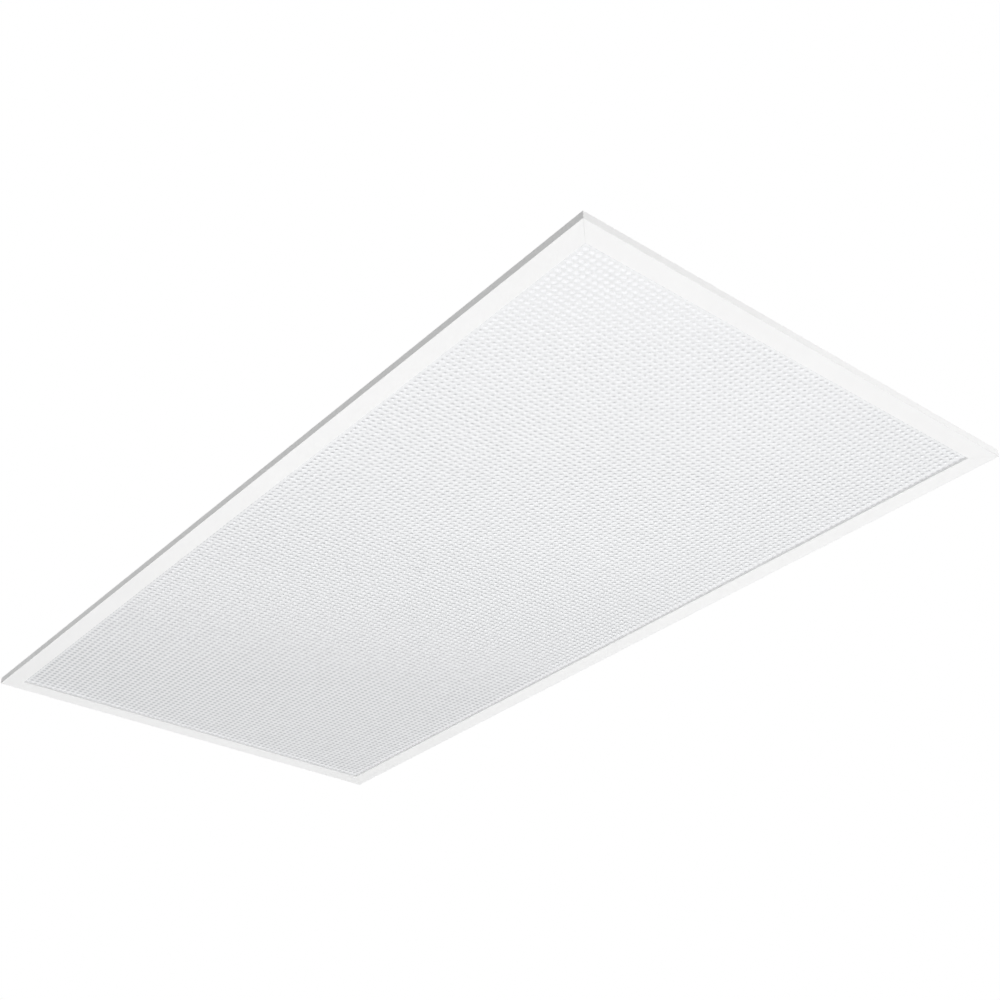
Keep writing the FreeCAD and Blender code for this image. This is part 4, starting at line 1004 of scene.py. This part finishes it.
@dataclass
class Fasteners:
    """All the fasteners of one node: turned heads on grooved or plain shanks."""

    node: str
    name: str
    head: Head
    head_height: float
    shank_radius: float
    thread_pitch: float = 0.7 * MM
    sides: int = 24
    smooth_angle: float = 35.0
    # Radius of the thread's core, in shank radii, and of its point, in core radii
    core: float = 0.84
    point: float = 0.7
    # Plain shank, from its blunt end to its seat: share of its length, share of its radius
    plain_shank: Profile = ((0.0, 0.8), (0.1, 1.0), (1.0, 1.0))
    # Hexagon head: top of the washer, both ends of the flats, and the radius at their corners
    washer_top: float = 0.16
    flats_ends: Band = (0.2, 0.88)
    flats_radius: float = 0.84
    # Its top and the mandrel of a dome, inwards: share of the head's height, share of its radius
    dished_top: Profile = ((1.0, 0.66), (1.0, 0.52), (0.78, 0.46))
    mandrel: Profile = ((1.0, 0.36), (0.65, 0.34), (0.65, 0.26), (0.88, 0.24))
    # Dome: its straight side, the radius of its level middle, and the rings that make it round
    dome_side: float = 0.25
    dome_middle: float = 0.55
    dome_rings: int = 5
    # Cross recess: reach and half width in head radii, depth in head heights
    cross_reach: float = 0.42
    cross_half: float = 0.1
    cross_depth: float = 0.6

    def build(self, packed: Packed) -> None:
        """Builds one piece that holds every fastener of the node.

        Args:
            packed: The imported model.
        """
        shell = Shell()
        for low, high in packed.solids(self.node):
            middle = (low + high) / 2.0
            seat = Vector((middle.x, middle.y, high.z - self.head_height))
            self.fastener(shell, seat, min(high.x - low.x, high.y - low.y) / 2.0, low.z)
        packed.stand_in(shell.piece(self.name, self.smooth_angle), self.node)

    def fastener(self, shell: Shell, seat: Vector, radius: float, end: float) -> None:
        """Adds one fastener.

        Args:
            shell: The mesh in the making.
            seat: Middle of the face that the head rests on.
            radius: Radius that the head has room for.
            end: Height of the shank's lower end.
        """
        below = self.shank(shell, seat, end)
        under = shell.ring(circle(seat, radius, self.sides))
        shell.bridge(below, under)
        if self.head is Head.HEXAGON:
            self.hexagon(shell, seat, radius, under)
        else:
            self.dome(shell, seat, radius, under)

    def shank(self, shell: Shell, seat: Vector, end: float) -> list[int]:
        """Adds the shank with its grooves and returns its top ring.

        Args:
            shell: The mesh in the making.
            seat: Middle of the face that the head rests on.
            end: Height of the shank's lower end.

        Returns:
            The shank's top ring.
        """
        length = seat.z - end
        if self.head is Head.DOME:
            levels = [(level, share * self.shank_radius) for level, share in self.plain_shank]
        else:
            turns = max(1, int(length / self.thread_pitch))
            core = self.core * self.shank_radius
            levels = [(0.0, self.point * core)]
            for turn in range(turns):
                levels += [((turn + 0.5) / turns, self.shank_radius), ((turn + 1.0) / turns, core)]
        rings = [
            shell.ring(circle(Vector((seat.x, seat.y, end + level * length)), radius, self.sides))
            for level, radius in levels
        ]
        shell.cap(rings[0], upward=False)
        for lower, upper in zip(rings, rings[1:]):
            shell.bridge(lower, upper)
        return rings[-1]

    def turned(
        self, shell: Shell, seat: Vector, radius: float, last: list[int], profile: Profile
    ) -> None:
        """Adds rings that follow a profile inwards and closes the last one.

        Args:
            shell: The mesh in the making.
            seat: Middle of the face that the head rests on.
            radius: Radius of the head.
            last: The ring that the profile starts from.
            profile: Share of the head's height and of its radius, for each ring.
        """
        for level, share in profile:
            centre = above(seat, level * self.head_height)
            ring = shell.ring(circle(centre, share * radius, self.sides))
            shell.bridge(last, ring)
            last = ring
        shell.cap(last, upward=True)

    def hexagon(self, shell: Shell, seat: Vector, radius: float, under: list[int]) -> None:
        """Adds a washer, six flats, a chamfer and a dished top.

        Args:
            shell: The mesh in the making.
            seat: Middle of the face that the head rests on.
            radius: Radius of the washer.
            under: The ring at the head's lower edge.
        """
        top = above(seat, self.washer_top * self.head_height)
        washer = shell.ring(circle(top, radius, self.sides))
        shell.bridge(under, washer)
        lower, upper = (
            shell.ring(self.flats(above(seat, level * self.head_height), self.flats_radius * radius))
            for level in self.flats_ends
        )
        shell.bridge(washer, lower)
        shell.bridge(lower, upper)
        self.turned(shell, seat, radius, upper, self.dished_top)

    def flats(self, centre: Vector, radius: float) -> list[Vector]:
        """Outline of a hexagon in as many points as a ring has.

        Args:
            centre: Middle of the hexagon.
            radius: Distance from there to its corners.

        Returns:
            The points, anticlockwise seen from above.
        """
        corners = circle(centre, radius, 6)
        outline, per_side = [], self.sides // len(corners)
        for start, after in zip(corners, corners[1:] + corners[:1]):
            outline += [start.lerp(after, i / per_side) for i in range(per_side)]
        return outline

    def dome(self, shell: Shell, seat: Vector, radius: float, under: list[int]) -> None:
        """Adds a rounded head with its recess or mandrel.

        Args:
            shell: The mesh in the making.
            seat: Middle of the face that the head rests on.
            radius: Radius of the head.
            under: The ring at the head's lower edge.
        """
        last = under
        for step in range(1, self.dome_rings + 1):
            angle = step / self.dome_rings * math.pi / 2.0
            share = self.dome_middle + (1.0 - self.dome_middle) * math.cos(angle)
            level = self.dome_side + (1.0 - self.dome_side) * math.sin(angle)
            centre = above(seat, level * self.head_height)
            ring = shell.ring(circle(centre, share * radius, self.sides))
            shell.bridge(last, ring)
            last = ring
        if self.head is Head.CROSS:
            top = above(seat, self.head_height)
            mouth = cross(top, self.cross_reach * radius, self.cross_half * radius)
            self.sink(shell, last, mouth, self.cross_depth * self.head_height)
        else:
            self.turned(shell, seat, radius, last, self.mandrel)

    @staticmethod
    def sink(shell: Shell, outer: list[int], outline: list[Vector], depth: float) -> None:
        """Sinks a recess of an outline into the face inside a ring.

        Args:
            shell: The mesh in the making.
            outer: The ring round the face.
            outline: Mouth of the recess.
            depth: Depth of the recess.
        """
        mouth = shell.ring(outline)
        floor = shell.ring([above(p, -depth) for p in outline])
        shell.fan(outer, mouth)
        shell.bridge(mouth, floor)
        shell.cap(floor, upward=True)


@dataclass
class Softened:
    """CAD nodes that keep their shape and get the small edge radii of the real process."""

    radius: float
    nodes: tuple[str, ...]
    angle: float = 34.0
    segments: int = 2

    def build(self, packed: Packed) -> None:
        """Adds the modifiers to every node.

        Args:
            packed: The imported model.
        """
        for node in self.nodes:
            bevel = packed.clean_facets(node).modifiers.new("edges", "BEVEL")
            bevel.limit_method = "ANGLE"
            bevel.angle_limit = math.radians(self.angle)
            bevel.width = self.radius
            bevel.segments = self.segments
            bevel.harden_normals = True
            LOG.info("%s gets %.2f mm edges", node, self.radius / MM)


@dataclass
class Rounded:
    """CAD nodes of coarse facets, such as leads, that get a smooth section."""

    nodes: tuple[str, ...]
    levels: int = 2
    end_angle: float = 75.0
    end_radius: float = 0.15 * MM
    end_segments: int = 2

    def build(self, packed: Packed) -> None:
        """Adds the modifiers to every node.

        Args:
            packed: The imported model.
        """
        for node in self.nodes:
            piece = packed.clean_facets(node)
            ends = piece.modifiers.new("ends", "BEVEL")
            ends.limit_method = "ANGLE"
            ends.angle_limit = math.radians(self.end_angle)
            ends.width = self.end_radius
            ends.segments = self.end_segments
            smooth = piece.modifiers.new("round", "SUBSURF")
            smooth.levels = smooth.render_levels = self.levels
            LOG.info("%s gets a round section", node)


# Studio


@dataclass(frozen=True)
class Lamp:
    """A soft panel lamp that the camera doesn't see, with its power in watts."""

    name: str
    place: Point
    target: Point
    size: tuple[float, float]
    power: float

    def hang(self) -> None:
        """Hangs the lamp at its place, facing its target."""
        data = bpy.data.lights.new(self.name, "AREA")
        data.shape = "RECTANGLE"
        data.size, data.size_y = self.size
        data.energy = self.power
        made = bpy.data.objects.new(self.name, data)
        made.location = self.place
        made.rotation_mode = "QUATERNION"
        ahead = Vector(self.target) - Vector(self.place)
        made.rotation_quaternion = ahead.to_track_quat("-Z", "Y")
        made.visible_camera = False
        bpy.context.scene.collection.objects.link(made)


@dataclass
class Studio:
    """Camera, lamps, world and floor."""

    # Solved from the four corners of the frame in the photograph, with angles in degrees
    camera_place: Point = (1.333, -0.994, -0.918)
    yaw: float = 140.7
    pitch: float = 32.0
    roll: float = -0.32
    # Focal length and sensor width in millimetres
    lens: float = 56.05
    sensor: float = 36.0
    clip_start: float = 0.01
    room_light: float = 0.26
    floor_level: float = -1.25
    floor_radius: float = 9.0
    floor_sides: int = 48
    floor_greys: Band = (0.80, 0.83)
    floor_patch: float = 0.9
    # Share of plain white in the floor, for the rays that show it
    floor_white: float = 0.55
    # The card's near edge, the way it runs from there in degrees, and its length and width
    card_edge: Point = (-1.35, 1.08, -1.14)
    card_turn: float = 153.4
    card_size: tuple[float, float] = (4.0, 6.0)
    lamps: tuple[Lamp, ...] = (
        Lamp("lower_panel", (-0.3, 0.05, -1.15), (-0.3, 0.05, 0.0), (3.6, 3.0), 24.6),
        Lamp("upper_panel", (0.3, 0.2, 3.0), (0.0, 0.0, 0.0), (5.0, 5.0), 105.0),
        Lamp("end_panel", (2.4, 1.3, 0.8), (0.3, 0.1, 0.0), (1.4, 1.4), 26.0),
    )

    def build(self) -> None:
        """Builds everything round the object."""
        self.camera()
        self.world()
        self.floor()
        self.card()
        for lamp in self.lamps:
            lamp.hang()

    def camera(self) -> None:
        """Puts the camera where the photograph was taken."""
        yaw, pitch, roll = (math.radians(v) for v in (self.yaw, self.pitch, self.roll))
        ahead = Vector(
            (math.cos(yaw) * math.cos(pitch), math.sin(yaw) * math.cos(pitch), math.sin(pitch))
        )
        right = Vector((math.sin(yaw), -math.cos(yaw), 0.0))
        up = right.cross(ahead)
        right, up = (
            right * math.cos(roll) + up * math.sin(roll),
            up * math.cos(roll) - right * math.sin(roll),
        )
        data = bpy.data.cameras.new("camera")
        data.sensor_width = self.sensor
        data.lens = self.lens
        data.clip_start = self.clip_start
        made = bpy.data.objects.new("camera", data)
        turn = Matrix((right, up, -ahead)).transposed().to_4x4()
        made.matrix_world = Matrix.Translation(Vector(self.camera_place)) @ turn
        bpy.context.scene.collection.objects.link(made)
        bpy.context.scene.camera = made

    def world(self) -> None:
        """Lights softly from all round and shows white behind the object."""
        world = bpy.data.worlds.new("studio")
        world.use_nodes = True
        bpy.context.scene.world = world
        shader = Shader(world.node_tree)
        colour = shader.blend(shader.shown(), grey(self.room_light), WHITE)
        light = shader.node("ShaderNodeBackground", {}, {"Color": colour, "Strength": 1.0})
        shader.add("ShaderNodeOutputWorld", {}, {"Surface": light})

    @staticmethod
    def sheet(name: str, outline: Sequence[Vector]) -> tuple[bpy.types.Object, Shader]:
        """Makes a level sheet of one face.

        Args:
            name: Name of the sheet and of its material.
            outline: Its outline, anticlockwise seen from above.

        Returns:
            The sheet, and the empty shader of its material.
        """
        shell = Shell()
        shell.cap(shell.ring(outline), upward=True)
        made = shell.piece(name)
        material = bpy.data.materials.new(name)
        material.use_nodes = True
        made.data.materials.append(material)
        return made, Shader(material.node_tree)

    def floor(self) -> None:
        """Lays a plain pale floor well below the object."""
        middle = Vector((0.0, 0.0, self.floor_level))
        made, shader = self.sheet("floor", circle(middle, self.floor_radius, self.floor_sides))
        cloud = shader.noise(shader.place(), self.floor_patch)
        colour = shader.blend(cloud, *map(grey, self.floor_greys))
        dull = {"Base Color": colour, "Roughness": 0.8, "Specular IOR Level": 0.1}
        lit = shader.node("ShaderNodeBsdfPrincipled", {}, dull)
        glow = {"Color": (*WHITE, 1.0), "Strength": 1.0}
        white = shader.node("ShaderNodeEmission", {}, glow)
        share = self.floor_white * shader.shown()
        pale = shader.node("ShaderNodeMixShader", {}, {0: share, 1: lit, 2: white})
        shader.add("ShaderNodeOutputMaterial", {}, {"Surface": pale})

    def card(self) -> None:
        """Lays a black card, seen in reflections alone, that the far end of the lens mirrors."""
        edge = Vector(self.card_edge)
        turn = Matrix.Rotation(math.radians(self.card_turn), 3, "Z")
        length, half = self.card_size[0], self.card_size[1] / 2.0
        corners = ((0.0, -half), (length, -half), (length, half), (0.0, half))
        made, shader = self.sheet("card", [edge + turn @ Vector((x, y, 0.0)) for x, y in corners])
        shader.surface({"Base Color": (*BLACK, 1.0), "Roughness": 1.0, "Specular IOR Level": 0.0})
        made.visible_camera = made.visible_diffuse = made.visible_shadow = False
        made.visible_transmission = made.visible_volume_scatter = False


def main() -> None:
    """Builds and dresses the whole light."""
    logging.basicConfig(level=logging.INFO, format="%(message)s")
    packed = Packed(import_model())
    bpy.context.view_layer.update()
    bpy.context.scene.view_settings.view_transform = "Standard"
    packed.dress()
    clips = tuple(f"grid_clip_{x}_{y}" for x in ("left", "right") for y in ("front", "rear"))
    poles = ("earth", "line", "neutral", "dim_plus", "dim_minus")
    levers = tuple(f"lever_{pole}" for pole in poles)
    leads = tuple(f"{pole}_wire" for pole in poles)
    assemblies = [
        Lens(),
        Fasteners("pan_screws", "flange_screws", Head.HEXAGON, 1.8 * MM, 1.2 * MM),
        Fasteners("driver_screws", "driver_fixings", Head.CROSS, 1.6 * MM, 1.6 * MM),
        Fasteners("clip_rivets", "pivot_rivets", Head.DOME, 1.6 * MM, 3.0 * MM),
        Fasteners("earth_screw", "earth_fixing", Head.HEXAGON, 2.6 * MM, 1.6 * MM),
        Softened(0.3 * MM, ("driver_box", "driver_box_cover", "driver_case", "driver_base")),
        Softened(0.35 * MM, ("knockout_plate_left", "knockout_plate_right", "hanger_brackets")),
        Softened(0.3 * MM, clips),
        Softened(0.25 * MM, ("terminal_block", *levers)),
        Softened(0.2 * MM, ("colour_selector", "output_selector", "selector_switches")),
        Rounded((*leads, "output_wires", "strip_link_wires")),
    ]
    for assembly in assemblies:
        assembly.build(packed)
    Studio().build()


if __name__ == "__main__":
    main()
